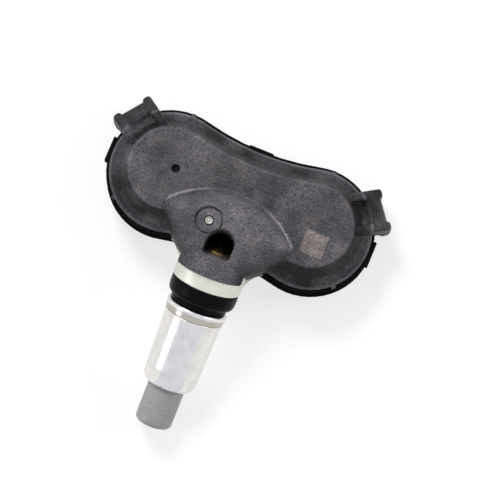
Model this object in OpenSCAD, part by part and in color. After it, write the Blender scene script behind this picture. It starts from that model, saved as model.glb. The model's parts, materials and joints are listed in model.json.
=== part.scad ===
// Tyre pressure sensor with a clamp-in valve, in millimetres.
// It lies as it comes to rest on a table: on the far edge of its housing and on the end of its valve cap.
// The origin is the centre of the seat where the valve's rubber grommet meets the metal head, which is where
// the wheel rim clamps. +X runs along the housing, -Y towards the valve cap and +Z up.

/* [Housing] */
// Distance from the middle of the housing to the centre of each round lobe
lobe_x = 19; // [17:0.5:22]
// Outer radius of each lobe of the tray
rim_r = 16.1; // [15.6:0.1:18]
// How far the waist lies inside the radius of the lobes
waist_in = 2.25; // [1.5:0.05:2.9]
// Depth of the tray below the parting line
tray_depth = 7.3; // [6.8:0.1:9]
// Wall of the tray
tray_wall = 1.7; // [1.2:0.1:2]
// Floor of the tray
floor_t = 1.2; // [0.8:0.1:1.8]
// Rounding of the tray's lower edge
tray_round = 1.3; // [0.8:0.1:2]
// Width of the rim that shows outside the cover
rim_step = 0.7; // [0.4:0.1:1]
// Thickness of the locating pads on the rim
pad_t = 0.45; // [0.2:0.05:0.8]
// Length of each locating pad
pad_length = 6.4; // [4:0.2:8]
// Distance from the long middle line to the front wall of the board's bay
bay_front = 8.5; // [8:0.1:8.6]
// Radius of the bay's tongue under the contact pin
tongue_r = 1.8; // [1.6:0.05:2]
// Wall between the valve's head and the pocket under the window
spigot_wall = 1.7; // [1.5:0.1:2]
// Depth of the pocket under the window below the parting line
pocket_depth = 1.7; // [1:0.1:2.4]
// Width of the gasket between tray and cover
gasket_w = 0.7; // [0.5:0.05:0.75]
// Thickness of the gasket
gasket_t = 0.6; // [0.4:0.05:0.8]

/* [Cover] */
// Height of the flat face above the parting line
face_z = 6; // [5.6:0.1:7]
// Distance from the cover's edge in to the flat face
face_in = 4.6; // [4:0.1:5.2]
// Distance from the cover's edge in to the crease between the shoulder and the wall
crease_in = 2.6; // [2.2:0.1:3]
// Height of the crease above the parting line
crease_z = 2.7; // [2.2:0.1:3.2]
// Wall of the cover
cover_wall = 1.3; // [1:0.1:1.6]
// Height of the cover's straight edge above the parting line
lip_h = 0.7; // [0.5:0.05:0.9]
// Radius of the pressure port
port_hole_r = 1.12; // [0.8:0.02:1.4]
// Place of the pressure port along X
port_hole_x = -17.7; // [-20:0.1:-15]
// Place of the pressure port across the housing
port_hole_y = 0.35; // [-2:0.05:2]
// Width of the tabs that bridge the rim
tab_w = 1.2; // [0.8:0.1:1.6]
// Angles of the tabs round each lobe
tab_angles = [90, -47];

/* [Hood] */
// Radius of the hood's back edge on the flat face
hood_arc_r = 22; // [21:0.5:24]
// Half width of the hood
hood_half_w = 17.2; // [16:0.1:18]
// Height of the hood's roof above the flat face
hood_rise = 4.6; // [4:0.1:5.4]
// Wall of the hood at its mouth
hood_lip = 0.65; // [0.5:0.05:1]
// Half width of the window over the valve's end
window_half_w = 3.6; // [3.4:0.05:4]
// Front edge of the window, measured back from the grommet seat
window_front = 5.1; // [4.9:0.1:5.4]
// Length of the window
window_length = 7.2; // [6.9:0.1:7.6]
// Corner radius of the window
window_corner = 0.9; // [0.5:0.1:1.5]
// Outer radius of the round recess in the roof
recess_r = 3.6; // [3.2:0.1:3.8]
// Depth of the recess
recess_depth = 0.75; // [0.4:0.05:0.9]
// Width of the groove round the recess
recess_groove = 0.55; // [0.3:0.05:0.8]
// Depth of the groove below the recess
groove_depth = 0.75; // [0.3:0.05:0.8]
// Place of the recess along X
recess_x = -4.7; // [-5.5:0.1:-4.5]
// Place of the recess, measured back from the grommet seat
recess_y = 13; // [12.6:0.1:13.4]
// Radius of the contact pin
contact_pin_r = 1; // [0.8:0.05:1.2]

/* [Latches] */
// Angle of each latch above the long axis
latch_angle = 37; // [34:1:40]
// Outer width of a latch
latch_w = 10.8; // [9.6:0.2:12]
// Width of each arm of a latch
arm_w = 2; // [1.6:0.1:2.4]
// Reach of the arms beyond the tray's wall
arm_reach = 3.5; // [3:0.1:4.2]
// Reach of the web beyond the tray's wall
web_reach = 2.4; // [2:0.1:2.8]
// Length of a latch below the parting line
latch_drop = 5.4; // [4.8:0.1:6]
// Height of the bar at the foot of a latch
latch_bar = 1.7; // [1.2:0.1:2.2]
// Reach of the catch on the tray
catch_reach = 1.5; // [1:0.1:1.8]

/* [Valve] */
// Angle of the valve below the plane of the housing
valve_angle = 25; // [20:1:28]
// Distance from the housing's waist out to the grommet seat
seat_reach = 8.55; // [8.2:0.05:9.6]
// Depth of the grommet seat below the cover's edge
seat_drop = 1.3; // [0.8:0.1:2]
// Radius of the head
head_r = 8.8; // [8.4:0.1:9.2]
// Length of the head
head_length = 6.9; // [6.4:0.1:7.4]
// Radius of the head's flared foot
foot_r = 12.6; // [11.6:0.1:13]
// Radius of the shaft through the grommet
shaft_r = 4; // [3.8:0.05:4.2]
// Radius of the thread that carries the cap
thread_r = 3.85; // [3.6:0.05:3.9]
// Length of the shaft beyond the grommet seat
shaft_length = 36.8; // [35:0.1:39]
// Radius of the spigot that the clip holds
spigot_r = 2.9; // [2.7:0.05:3]
// Length of the spigot's nose beyond the clip
nose_length = 1.2; // [1:0.1:1.5]
// Thickness of the spring clip
clip_t = 0.6; // [0.5:0.05:0.7]
// Depth of the clip's groove in the spigot
clip_groove = 0.7; // [0.5:0.05:0.9]
// Radius of the air passage
air_r = 1.2; // [1.15:0.05:1.4]
// Radius of the chamber for the valve core
core_r = 2.6; // [2.4:0.05:2.8]
// Depth of the chamber for the valve core
core_depth = 13; // [12:0.1:15]
// Radius of the valve core's pin
pin_r = 0.45; // [0.4:0.05:0.5]
// Travel of the valve core's pin
pin_travel = 1.2; // [0.8:0.1:1.6]

/* [Grommet and nut] */
// Radius of the grommet's flange
flange_r = 8.75; // [8.4:0.05:9]
// Thickness of the grommet's flange
flange_t = 4.3; // [3.8:0.1:4.8]
// Radius of the grommet's shoulder
shoulder_r = 7.25; // [6.9:0.05:7.4]
// Thickness of the grommet from its seat to the end of its shoulder
shoulder_end = 5.9; // [5.5:0.1:6.4]
// Radius of the grommet's neck in the hole of the rim
neck_r = 5.65; // [5.6:0.05:5.7]
// Length of the grommet's neck
neck_length = 3.9; // [3:0.1:4.2]
// Radius of the washer
washer_r = 7.85; // [7.6:0.05:8.2]
// Thickness of the washer
washer_t = 1.2; // [1:0.05:1.5]
// Radius of the nut's body
nut_r = 7.45; // [7.2:0.05:7.6]
// Length of the nut
nut_length = 21.1; // [20:0.1:23]
// Distance across the nut's flats
hex_af = 12; // [11.6:0.1:12.6]
// Length of the nut's flats
hex_length = 4.6; // [3.6:0.1:5.5]
// Length of the thread in the nut
nut_thread = 8; // [6:0.5:8.5]

/* [Cap] */
// Radius of the cap
cap_r = 4.75; // [4.6:0.05:4.8]
// Length of the cap
cap_length = 12.5; // [11.8:0.1:13]
// Rounding of the cap's end
cap_round = 1.2; // [0.8:0.1:1.6]
// Wall of the cap's end
cap_end_t = 1.3; // [1:0.1:1.8]

/* [Electronics] */
// Radius of the button cell
cell_r = 10; // [9:0.5:10.5]
// Thickness of the button cell
cell_t = 3.2; // [2.5:0.1:3.4]
// Thickness of the circuit board
board_t = 1; // [0.8:0.1:1.2]
// Depth of the board's top face below the parting line
board_drop = 0.4; // [0.2:0.1:0.8]
// Thickness of the battery's contact strips
strip_t = 0.2; // [0.15:0.05:0.3]
// Width of the battery's contact strips
strip_w = 4; // [3:0.5:5]
// Side of the pressure sensor's package
sensor_side = 5; // [4:0.5:6]
// Height of the pressure sensor's package
sensor_h = 2; // [1.5:0.1:2.2]
// Side of the control chip
chip_side = 6; // [5:0.5:6.5]
// Height of the control chip
chip_h = 0.9; // [0.7:0.1:1.2]
// Length of the crystal
crystal_length = 3.2; // [2:0.1:3.4]
// Width of the crystal
crystal_w = 2.5; // [1.6:0.1:2.6]
// Height of the crystal
crystal_h = 0.8; // [0.6:0.1:1]
// Length of each capacitor
capacitor_length = 1.6; // [1:0.1:1.8]
// Width and height of each capacitor
capacitor_w = 0.8; // [0.5:0.1:1]
// Distance from one capacitor to the next
capacitor_pitch = 2.2; // [2:0.1:2.4]
// Length of the coil's ferrite core
coil_length = 8; // [7:0.2:9]
// Width of the coil's ferrite core
coil_w = 6; // [5.6:0.1:7]
// Height of the coil's ferrite core
coil_h = 2.4; // [2.2:0.1:2.6]
// Thickness of the plates at the core's ends
coil_plate = 1.2; // [1:0.1:1.4]
// Thickness of the copper winding
winding_t = 0.38; // [0.2:0.02:0.4]
// Width of the antenna strip
antenna_w = 1.6; // [1:0.1:1.8]
// Distance from the cover's wall to the antenna strip
antenna_gap = 1.25; // [0.5:0.05:1.25]

/* [Hidden] */

$fn = 96;
cut = 0.01;
over = 20;
fine_gap = 0.02;
run_gap = 0.05;
slip_gap = 0.15;
cover_r = rim_r - rim_step;
chamber_r = rim_r - tray_wall;
face_r = cover_r - face_in;
crease_r = cover_r - crease_in;
waist_y = rim_r - waist_in;
waist_c = (pow(lobe_x, 2) - pow(waist_in, 2)) / (2 * waist_in);
seat_back = waist_y + seat_reach;
tangent = atan2(waist_c, -lobe_x);
lobe_steps = 30;
waist_steps = 6;
seat = [0, -seat_back, -seat_drop];
window_y = seat[1] + window_front;
recess_at = [recess_x, seat[1] + recess_y];
roof_z = face_z + hood_rise;
head_flat = roof_z - 1.9;
board_top = -board_drop;
board_bottom = board_top - board_t;
strip_x = lobe_x + chamber_r - 1.2;
chip_x = recess_x - 2.8;
side_r = crease_r - cover_wall - 0.2;
bay_back = side_r - waist_in;
antenna_y = bay_back - antenna_gap - antenna_w;
chip_y = bay_back - 1.05 - chip_side;
coil_leg = 0.45 * coil_length;
coil_leg_h = coil_h - 1;
floor_z = -tray_depth + floor_t;
groove_r = spigot_r - clip_groove;
groove_at = head_length + spigot_wall + run_gap;
washer_at = shoulder_end + run_gap;
nut_at = washer_at + washer_t + run_gap;
nut_end = nut_at + nut_length;
thread_from = nut_at + 4.8;
cap_end = shaft_length + 1 + cap_end_t;
cap_at = cap_end - cap_length;
core_floor = shaft_length - core_depth;
core_top = shaft_length - 0.8;
barrel_r = core_r - 0.9;
spring_floor = core_floor + 2.5;
collar_at = shaft_length - 2.3;

// The slope at which the housing's far edge and the end of the cap both touch the table.
cap_corner_r = cap_r - cap_round;
cap_corner_at = cap_end - cap_round;
cap_corner = seat + cap_corner_at * [0, -cos(valve_angle), -sin(valve_angle)]
    - cap_corner_r * [0, -sin(valve_angle), cos(valve_angle)];
far_edge = [0, rim_r - tray_round, -tray_depth + tray_round];
rest_span = far_edge - cap_corner;
rest_tilt = atan2(rest_span[2], rest_span[1])
    + asin((cap_round - tray_round) / norm(rest_span));

// Turns the housing's frame into the resting one, with the grommet seat at the origin.
module resting() {
    rotate([-rest_tilt, 0, 0])
        translate(-seat)
            children();
}

// Stands the children on the valve's axis: z runs from the grommet seat to the cap and y towards the roof.
module on_valve(at = 0) {
    translate(seat)
        rotate([90 + valve_angle, 0, 0])
            translate([0, 0, at])
                children();
}

// One arc as points.
function arc(centre, r, from, to, steps) =
    [for (i = [0 : steps]) let (a = from + (to - from) * i / steps) centre + r * [cos(a), sin(a)]];

// The housing's outline with lobes of radius r: two round lobes joined by hollow flanks tangent to them.
function outline(r) =
    let (flank_r = waist_c - waist_y + rim_r - r, swing = (tangent - 90) * (1 - 2 / waist_steps))
    concat(
        arc([lobe_x, 0], r, -tangent, tangent, lobe_steps),
        arc([0, waist_c], flank_r, swing - 90, -swing - 90, waist_steps - 2),
        arc([-lobe_x, 0], r, 180 - tangent, 180 + tangent, lobe_steps),
        arc([0, -waist_c], flank_r, 90 + swing, 90 - swing, waist_steps - 2));

// A solid through one outline for each [r, z] pair of a section, from the bottom up.
module loft(section) {
    rings = [for (s = section) [for (p = outline(s[0])) [p[0], p[1], s[1]]]];
    n = len(rings[0]);
    top = len(rings) - 1;
    walls = [for (k = [0 : top - 1], i = [0 : n - 1])
        [k * n + i, (k + 1) * n + i, (k + 1) * n + (i + 1) % n, k * n + (i + 1) % n]];
    ends = [[for (i = [0 : n - 1]) i], [for (i = [n - 1 : -1 : 0]) top * n + i]];
    polyhedron([for (r = rings) each r], concat(walls, ends));
}

// A slab of two round lobes and a straight strap between them.
module lobed_slab(r, strap_top, strap_bottom, z0, z1) {
    translate([0, 0, z0])
        linear_extrude(z1 - z0)
            union() {
                for (side = [-1, 1])
                    translate([side * lobe_x, 0])
                        circle(r);
                translate([-lobe_x, -strap_bottom])
                    square([2 * lobe_x, strap_top + strap_bottom]);
            }
}

// The round bay in front of the strap where the contact pin meets the board.
module tongue(r, z0, z1) {
    translate([recess_at[0], recess_at[1], z0])
        cylinder(r = r, h = z1 - z0);
    translate([recess_at[0] - r, recess_at[1], z0])
        cube([2 * r, -bay_front - recess_at[1] + 1, z1 - z0]);
}

// Places the children on each lobe with x running out along the latch.
module at_latches() {
    for (side = [-1, 1])
        translate([side * lobe_x, 0, 0])
            rotate([0, 0, side > 0 ? latch_angle : 180 - latch_angle])
                children();
}

// A plate of the given width whose side view is a list of [radius, height] points.
module radial_plate(points, width) {
    rotate([90, 0, 0])
        translate([0, 0, -width / 2])
            linear_extrude(width)
                polygon(points);
}

// The window's outline: flat in front with rounded corners, round behind.
module window_shape(inset = 0) {
    half = window_half_w - inset;
    back = window_y + window_length - window_half_w;
    translate([0, back])
        circle(half);
    translate([-half, window_y + inset + window_corner])
        square([2 * half, back - window_y - inset - window_corner]);
    translate([-half + window_corner, window_y + inset])
        square([2 * (half - window_corner), 2 * window_corner]);
    for (side = [-1, 1])
        translate([side * (half - window_corner), window_y + inset + window_corner])
            circle(window_corner);
}

// The pocket under the window, closed in front by the wall that carries the spigot.
module window_pocket(z0, z1) {
    intersection() {
        translate([0, 0, z0])
            linear_extrude(z1 - z0)
                window_shape();
        on_valve(-head_length - spigot_wall - over)
            cylinder(r = over, h = over, $fn = 16);
    }
}

module housing_tray() {
    catch_z = -latch_drop + latch_bar + 0.1;
    bottom = [for (a = [-90 : 30 : 0])
        [rim_r - tray_round * (1 - cos(a)), -tray_depth + tray_round * (1 + sin(a))]];
    resting() color([0.11, 0.11, 0.11]) difference() {
        union() {
            loft(concat(bottom, [[rim_r, 0]]));
            // Boss with the slanted face that the valve's head seats on.
            intersection() {
                on_valve(-head_length - 8)
                    cylinder(r = foot_r + 0.3, h = 8);
                translate([-over, -2 * over, -tray_depth])
                    cube([2 * over, 2 * over, tray_depth - run_gap]);
            }
            for (a = [0, 180])
                rotate([0, 0, a])
                    translate([lobe_x + rim_r - 1, -pad_length / 2, -3])
                        cube([1 + pad_t, pad_length, 3]);
            translate([-pad_length / 2, waist_y - 1, -3])
                cube([pad_length, 1 + pad_t, 3]);
            at_latches()
                radial_plate([[rim_r - 0.5, -0.3], [rim_r, -0.3], [rim_r + catch_reach, catch_z + 0.4],
                    [rim_r + catch_reach, catch_z], [rim_r - 0.5, catch_z]], latch_w - 2 * arm_w - 0.4);
        }
        on_valve(-head_length)
            cylinder(r = foot_r + 1, h = over);
        lobed_slab(chamber_r, waist_y - tray_wall, bay_front, floor_z, cut);
        tongue(tongue_r, board_bottom - 0.6, cut);
        gasket_ring(0.1, cut);
        window_pocket(-pocket_depth, cut);
        on_valve(-head_length - spigot_wall - 1)
            cylinder(r = spigot_r + fine_gap, h = 4);
    }
    // Posts that carry the board round the cell.
    resting() color([0.11, 0.11, 0.11])
        for (x = [-lobe_x - 9, -lobe_x + 9, 5.5], side = [-1, 1])
            translate([x, side * 7, floor_z - cut])
                cylinder(r = 1.2, h = board_bottom - floor_z + cut);
}

// The space inside the cover, over the board.
module cover_hollow() {
    top_r = face_r - cover_wall;
    lobed_slab(side_r, bay_back, bay_front, -2, crease_z);
    lobed_slab(top_r, waist_y - rim_r + top_r, waist_y - rim_r + top_r, crease_z - cut, face_z - cover_wall);
    tongue(tongue_r, -cut, 1);
}

// The round recess in the roof with its groove, and the hole for the contact pin.
module roof_recess() {
    translate([recess_at[0], recess_at[1], 0]) {
        translate([0, 0, roof_z - recess_depth])
            cylinder(r = recess_r, h = over);
        translate([0, 0, roof_z - recess_depth - groove_depth])
            difference() {
                cylinder(r = recess_r, h = over);
                translate([0, 0, -1])
                    cylinder(r = recess_r - recess_groove, h = over + 2);
            }
        translate([0, 0, roof_z - recess_depth - groove_depth])
            cylinder(r = contact_pin_r + 0.3, h = over);
        cylinder(r = contact_pin_r + fine_gap, h = over);
    }
}

module front_cover() {
    section = [[cover_r, -1], [cover_r, lip_h - 0.15], [cover_r - 0.25, lip_h + 0.25],
        [cover_r - 0.8, lip_h + 0.9], [cover_r - 1.6, lip_h + 1.5], [crease_r, crease_z],
        [crease_r - 0.35, crease_z + 0.3], [face_r + 0.15, face_z - 0.6], [face_r - 0.1, face_z - 0.2],
        [face_r - 0.6, face_z]];
    resting() color([0.34, 0.33, 0.35]) difference() {
        union() {
            // Shell and hood, cut off together at the parting line.
            difference() {
                union() {
                    difference() {
                        loft(section);
                        cover_hollow();
                    }
                    difference() {
                        hood();
                        cover_hollow();
                    }
                }
                translate([-2.5 * over, -2.5 * over, -over])
                    cube([5 * over, 5 * over, over]);
            }
            at_latches()
                latch();
            // Tabs that bridge the rim.
            for (side = [-1, 1], a = tab_angles)
                translate([side * lobe_x, 0, 0])
                    rotate([0, 0, side > 0 ? a : 180 - a])
                        translate([cover_r - 0.5, -tab_w / 2, 0])
                            cube([rim_step + 0.5, tab_w, lip_h - 0.15]);
        }
        translate([port_hole_x, port_hole_y, 0])
            cylinder(r = port_hole_r, h = over);
        // Mouth for the valve's head, and the bore for its spigot.
        intersection() {
            on_valve(-head_length)
                cylinder(r = head_r + slip_gap, h = over);
            translate([-over, -2 * over, -over])
                cube([2 * over, 2 * over, over + head_flat + slip_gap]);
        }
        on_valve(-head_length - spigot_wall - 1)
            cylinder(r = spigot_r + fine_gap, h = 4);
        window_pocket(-2, over);
        roof_recess();
    }
}

// The hood up to one level, drawn in by the given amount.
module hood_level(inset, z) {
    front = seat[1] + 13;
    linear_extrude(z)
        intersection() {
            translate([0, seat[1] + 0.65])
                circle(hood_arc_r - inset, $fn = 120);
            translate([-hood_half_w + inset, front])
                square([2 * (hood_half_w - inset), over]);
        }
}

// The domed hood: levels drawn in towards the roof, blended into the round mouth over the valve's head.
module hood() {
    levels = [[0, -0.09], [0.45, 0.1], [1.3, 0.33], [2.6, 0.57], [4.4, 0.8], [6.5, 0.93], [9, 1]];
    intersection() {
        hull() {
            for (s = levels)
                hood_level(s[0], face_z + s[1] * hood_rise);
            on_valve(-head_length + 2.3)
                cylinder(r = head_r + slip_gap + hood_lip, h = 0.6, $fn = 72);
            for (side = [-1, 1])
                translate([side * (foot_r - 0.93), seat[1] + 7.87, -0.53])
                    cylinder(r = 0.9, h = 2.1, $fn = 20);
        }
        translate([-over, -2 * over, -0.4])
            cube([2 * over, 4 * over, over]);
    }
}

// A snap latch: two arms with rounded ends, a sloped web between them and a bar at the foot.
module latch() {
    tip = rim_r + arm_reach;
    outer = rim_r + web_reach;
    gap = rim_r + 0.3;
    foot = -latch_drop;
    arm = [[face_r - 0.8, face_z - 0.5], [face_r + 0.7, face_z - 0.1], [tip - 1.3, 3.2], [tip - 0.5, 2.9],
        [tip, 2.2], [tip, foot + 0.6], [tip - 0.6, foot], [gap, foot], [gap, 0], [face_r - 0.8, 0]];
    web = [[cover_r - 0.5, 0], [cover_r - 0.5, 0.9], [outer - 0.4, 2.6], [outer, 2.3], [outer, 0], [gap, 0]];
    bar = [[gap, foot], [outer, foot], [outer, foot + latch_bar], [gap, foot + latch_bar]];
    for (side = [-1, 1])
        translate([0, side * (latch_w - arm_w) / 2, 0])
            radial_plate(arm, arm_w);
    radial_plate(web, latch_w - arm_w);
    radial_plate(bar, latch_w - arm_w);
}

// The gasket's filled outline up to the given height, widened by the given amount.
module gasket_ring(wider, top) {
    w = gasket_w + wider;
    lobed_slab(chamber_r + w, waist_y - tray_wall + w, bay_front + w, -gasket_t, top);
    tongue(tongue_r + w - 0.15, -gasket_t, top);
}

module cover_gasket() {
    resting() color([0.2, 0.22, 0.2]) difference() {
        gasket_ring(0, 0);
        lobed_slab(chamber_r + run_gap, waist_y - tray_wall + run_gap, bay_front + run_gap, -1, 1);
        tongue(tongue_r, -1, 1);
    }
}

module circuit_board() {
    resting() color([0.05, 0.3, 0.15]) difference() {
        union() {
            lobed_slab(chamber_r - 0.3, waist_y - tray_wall - 0.3, bay_front - 0.3, board_bottom, board_top);
            tongue(tongue_r - 0.2, board_bottom, board_top);
        }
        // Notch that lets the top strip of the cell come through.
        translate([strip_x - strip_t - 0.5, -strip_w / 2 - 0.3, -over])
            cube([over, strip_w + 0.6, 2 * over]);
    }
}

module battery_cell() {
    step = 0.6;
    resting() color([0.75, 0.75, 0.78])
        translate([lobe_x, 0, floor_z + strip_t])
            rotate_extrude()
                polygon([[0, 0], [cell_r - 1.1, 0], [cell_r - 1, step], [cell_r - 0.3, step],
                    [cell_r, step + 0.3], [cell_r, cell_t - 0.3], [cell_r - 0.3, cell_t], [0, cell_t]]);
}

// A contact strip: a flat tongue on the cell and a leg to the board.
module battery_top_strip() {
    top = floor_z + strip_t + cell_t;
    pad = 2.4;
    resting() color([0.8, 0.8, 0.78]) {
        translate([lobe_x, -strip_w / 2, top])
            cube([strip_x - lobe_x, strip_w, strip_t]);
        translate([strip_x - strip_t, -strip_w / 2, top])
            cube([strip_t, strip_w, board_top - top + strip_t]);
        translate([strip_x - pad, -strip_w / 2, board_top])
            cube([pad, strip_w, strip_t]);
    }
}

module battery_bottom_strip() {
    leg_x = lobe_x - cell_r - 2.2;
    resting() color([0.8, 0.8, 0.78]) {
        translate([leg_x, -strip_w / 2, floor_z])
            cube([cell_r + 2.2, strip_w, strip_t]);
        translate([leg_x, -strip_w / 2, floor_z])
            cube([strip_t, strip_w, board_bottom - floor_z]);
    }
}

module pressure_sensor() {
    resting() color([0.12, 0.12, 0.13])
        translate([port_hole_x, port_hole_y, board_top]) difference() {
            translate([-sensor_side / 2, -sensor_side / 2, 0])
                cube([sensor_side, sensor_side, sensor_h]);
            translate([0, 0, sensor_h - 0.8])
                cylinder(r = port_hole_r, h = 2);
        }
}

module port_seal() {
    bottom = board_top + sensor_h;
    resting() color([0.75, 0.35, 0.25])
        translate([port_hole_x, port_hole_y, bottom])
            difference() {
                cylinder(r = port_hole_r + 1, h = face_z - cover_wall - bottom);
                translate([0, 0, -1])
                    cylinder(r = port_hole_r, h = over);
            }
}

module control_chip() {
    resting() color([0.1, 0.1, 0.11])
        translate([chip_x, chip_y, board_top])
            cube([chip_side, chip_side, chip_h]);
}

module crystal() {
    resting() color([0.8, 0.8, 0.8])
        translate([chip_x + 0.3, chip_y - 1.9 - crystal_w, board_top])
            cube([crystal_length, crystal_w, crystal_h]);
}

module capacitors() {
    resting() color([0.7, 0.6, 0.45])
        for (i = [0 : 4])
            translate([chip_x + chip_side + 1.1, 2.5 - bay_front + capacitor_pitch * i, board_top])
                cube([capacitor_length, capacitor_w, capacitor_w]);
}

module coil_core() {
    resting() color([0.2, 0.2, 0.2])
        translate([lobe_x - coil_length / 2, -coil_w / 2, board_top]) {
            cube([coil_length, coil_plate, coil_h]);
            translate([0, coil_w - coil_plate, 0])
                cube([coil_length, coil_plate, coil_h]);
            translate([(coil_length - coil_leg) / 2, 0, (coil_h - coil_leg_h) / 2])
                cube([coil_leg, coil_w, coil_leg_h]);
        }
}

module coil_winding() {
    outer = [coil_leg + 2 * winding_t + 0.04, coil_w - 2 * coil_plate - 2 * run_gap, coil_leg_h + 2 * winding_t + 0.04];
    resting() color([0.72, 0.4, 0.2])
        translate([lobe_x, 0, board_top + coil_h / 2])
            difference() {
                cube(outer, center = true);
                cube([coil_leg + 2 * fine_gap, coil_w, coil_leg_h + 2 * fine_gap], center = true);
            }
}

// A bent strip that stands on the board and runs over it as a radiator.
module antenna_strip() {
    from = -lobe_x - 3;
    to = lobe_x - 6;
    leg = 0.4;
    top = 2.2;
    resting() color([0.78, 0.66, 0.3]) {
        translate([from, antenna_y, top - 0.3])
            cube([to - from + leg, antenna_w, 0.3]);
        for (x = [from, to])
            translate([x, antenna_y, board_top])
                cube([leg, antenna_w, top - board_top]);
    }
}

module contact_pin() {
    top = roof_z - 0.55;
    resting() color([0.78, 0.77, 0.7])
        translate([recess_at[0], recess_at[1], 0])
            difference() {
                translate([0, 0, board_top])
                    cylinder(r = contact_pin_r, h = top - board_top);
                translate([0, 0, top - 0.3])
                    difference() {
                        cylinder(r = contact_pin_r - 0.25, h = 1);
                        cylinder(r = 0.3, h = 0.2);
                    }
            }
}

module valve_stem() {
    flare = foot_r - head_r;
    flare_s = head_length - 1;
    flare_r = (pow(flare_s, 2) + pow(flare, 2)) / (2 * flare);
    trumpet = [for (i = [0 : 8]) let (s = flare_s * i / 8)
        [head_r + flare_r - sqrt(pow(flare_r, 2) - pow(s, 2)), -1 - s]];
    resting() color([0.78, 0.78, 0.74]) difference() {
        union() {
            on_valve()
                rotate_extrude()
                    polygon([[0, -head_length], [head_r, -head_length], [head_r, -0.4], [head_r - 0.4, 0],
                        [shaft_r, 0], [shaft_r, 10], [shaft_r - run_gap, 10.5], [shaft_r - run_gap, 25],
                        [thread_r - 0.5, 25.8], [thread_r - 0.5, 26.8], [thread_r, 27.4],
                        [thread_r, shaft_length - 0.6], [thread_r - 0.6, shaft_length], [0, shaft_length]]);
            intersection() {
                on_valve()
                    rotate_extrude()
                        polygon(concat([[0, -1]], trumpet, [[0, -head_length]]));
                translate([-over, -2 * over, -tray_depth])
                    cube([2 * over, 2 * over, tray_depth - 2 * run_gap]);
            }
            on_valve()
                rotate_extrude()
                    polygon([[0, -head_length + 1], [spigot_r, -head_length + 1], [spigot_r, -groove_at],
                        [groove_r, -groove_at], [groove_r, -groove_at - clip_t - run_gap],
                        [spigot_r, -groove_at - clip_t - run_gap],
                        [spigot_r - 0.1, -groove_at - clip_t - 0.4],
                        [air_r + 0.5, -groove_at - clip_t - nose_length],
                        [0, -groove_at - clip_t - nose_length]]);
        }
        // Flat on the head's back edge, under the hood's roof.
        translate([-over, -2 * over, head_flat])
            cube([2 * over, 2 * over, over]);
        on_valve(-over)
            cylinder(r = air_r, h = over + shaft_length + 1);
        on_valve(core_floor)
            cylinder(r = core_r + fine_gap, h = over);
    }
}

module stem_clip() {
    resting() color([0.72, 0.6, 0.35])
        on_valve(-groove_at - clip_t)
            difference() {
                cylinder(r = spigot_r + 0.45, h = clip_t);
                translate([0, 0, -1])
                    cylinder(r = groove_r + fine_gap, h = clip_t + 2);
                translate([-groove_r + 0.2, -over, -1])
                    cube([2 * groove_r - 0.4, over, clip_t + 2]);
            }
}

module rim_grommet() {
    bead = 0.9;
    resting() color([0.06, 0.06, 0.07])
        on_valve()
            rotate_extrude()
                polygon([[shaft_r + fine_gap, 0], [flange_r, 0], [flange_r, flange_t - 1.6],
                    [flange_r - 0.12, flange_t - 1], [flange_r - 0.4, flange_t - 0.4],
                    [flange_r - bead, flange_t], [shoulder_r + 0.1, flange_t + 0.2],
                    [shoulder_r - 0.1, flange_t + 0.5], [shoulder_r, flange_t + 0.8],
                    [shoulder_r, shoulder_end - 0.3], [shoulder_r - 0.3, shoulder_end],
                    [neck_r, shoulder_end], [neck_r, shoulder_end + neck_length - 0.4],
                    [neck_r - 0.4, shoulder_end + neck_length], [shaft_r + fine_gap, shoulder_end + neck_length]]);
}

module nut_washer() {
    bore = neck_r + 0.2;
    collar = bore + 0.65;
    resting() color([0.88, 0.87, 0.9])
        on_valve(washer_at)
            rotate_extrude()
                polygon([[bore, 0], [washer_r - 0.45, 0], [washer_r, 0.45], [washer_r, washer_t],
                    [collar, washer_t], [collar, washer_t + 1.2], [bore, washer_t + 1.2]]);
}

module rim_nut() {
    bore = neck_r + 0.2;
    collar = bore + 0.65 + 2 * run_gap;
    band = 1.4;
    hex_from = nut_length - hex_length;
    resting() color([0.86, 0.85, 0.9])
        on_valve(nut_at)
            difference() {
                intersection() {
                    rotate_extrude()
                        polygon([[0, 0], [nut_r + 0.15, 0], [nut_r + 0.1, band], [nut_r, band + 0.35],
                            [nut_r - 0.3, nut_length - 3.4], [nut_r - 0.42, nut_length - 2.2],
                            [nut_r - 0.8, nut_length - 1.3], [nut_r - 1.5, nut_length - 0.6],
                            [cap_r + 0.55, nut_length], [0, nut_length]]);
                    union() {
                        cylinder(r = 2 * nut_r, h = hex_from);
                        rotate([0, 0, 21.1 + 90])
                            cylinder(r = hex_af / 2 / cos(30), h = nut_length, $fn = 6);
                    }
                }
                translate([0, 0, -1])
                    cylinder(r = shaft_r, h = nut_length + 2);
                translate([0, 0, -1])
                    cylinder(r = collar, h = 1 + 1.4);
                translate([0, 0, -1])
                    cylinder(r = bore, h = 1 + thread_from - nut_at);
                translate([0, 0, thread_from - nut_at + nut_thread])
                    cylinder(r = cap_r + 0.2, h = nut_length);
            }
}

module core_body() {
    resting() color([0.75, 0.6, 0.3])
        on_valve()
            difference() {
                union() {
                    translate([0, 0, core_top - 4.6])
                        cylinder(r = core_r, h = 4.6);
                    translate([0, 0, core_floor])
                        cylinder(r = barrel_r, h = core_depth - 4);
                }
                translate([0, 0, spring_floor])
                    cylinder(r = barrel_r - 0.45, h = core_depth);
                translate([0, 0, core_floor - 1])
                    cylinder(r = pin_r + 0.2, h = core_depth);
            }
}

module core_seal() {
    resting() color([0.15, 0.15, 0.16])
        on_valve(core_floor + 4.5)
            difference() {
                cylinder(r = core_r, h = 1.6);
                translate([0, 0, -1])
                    cylinder(r = barrel_r + fine_gap, h = 4);
            }
}

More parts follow.
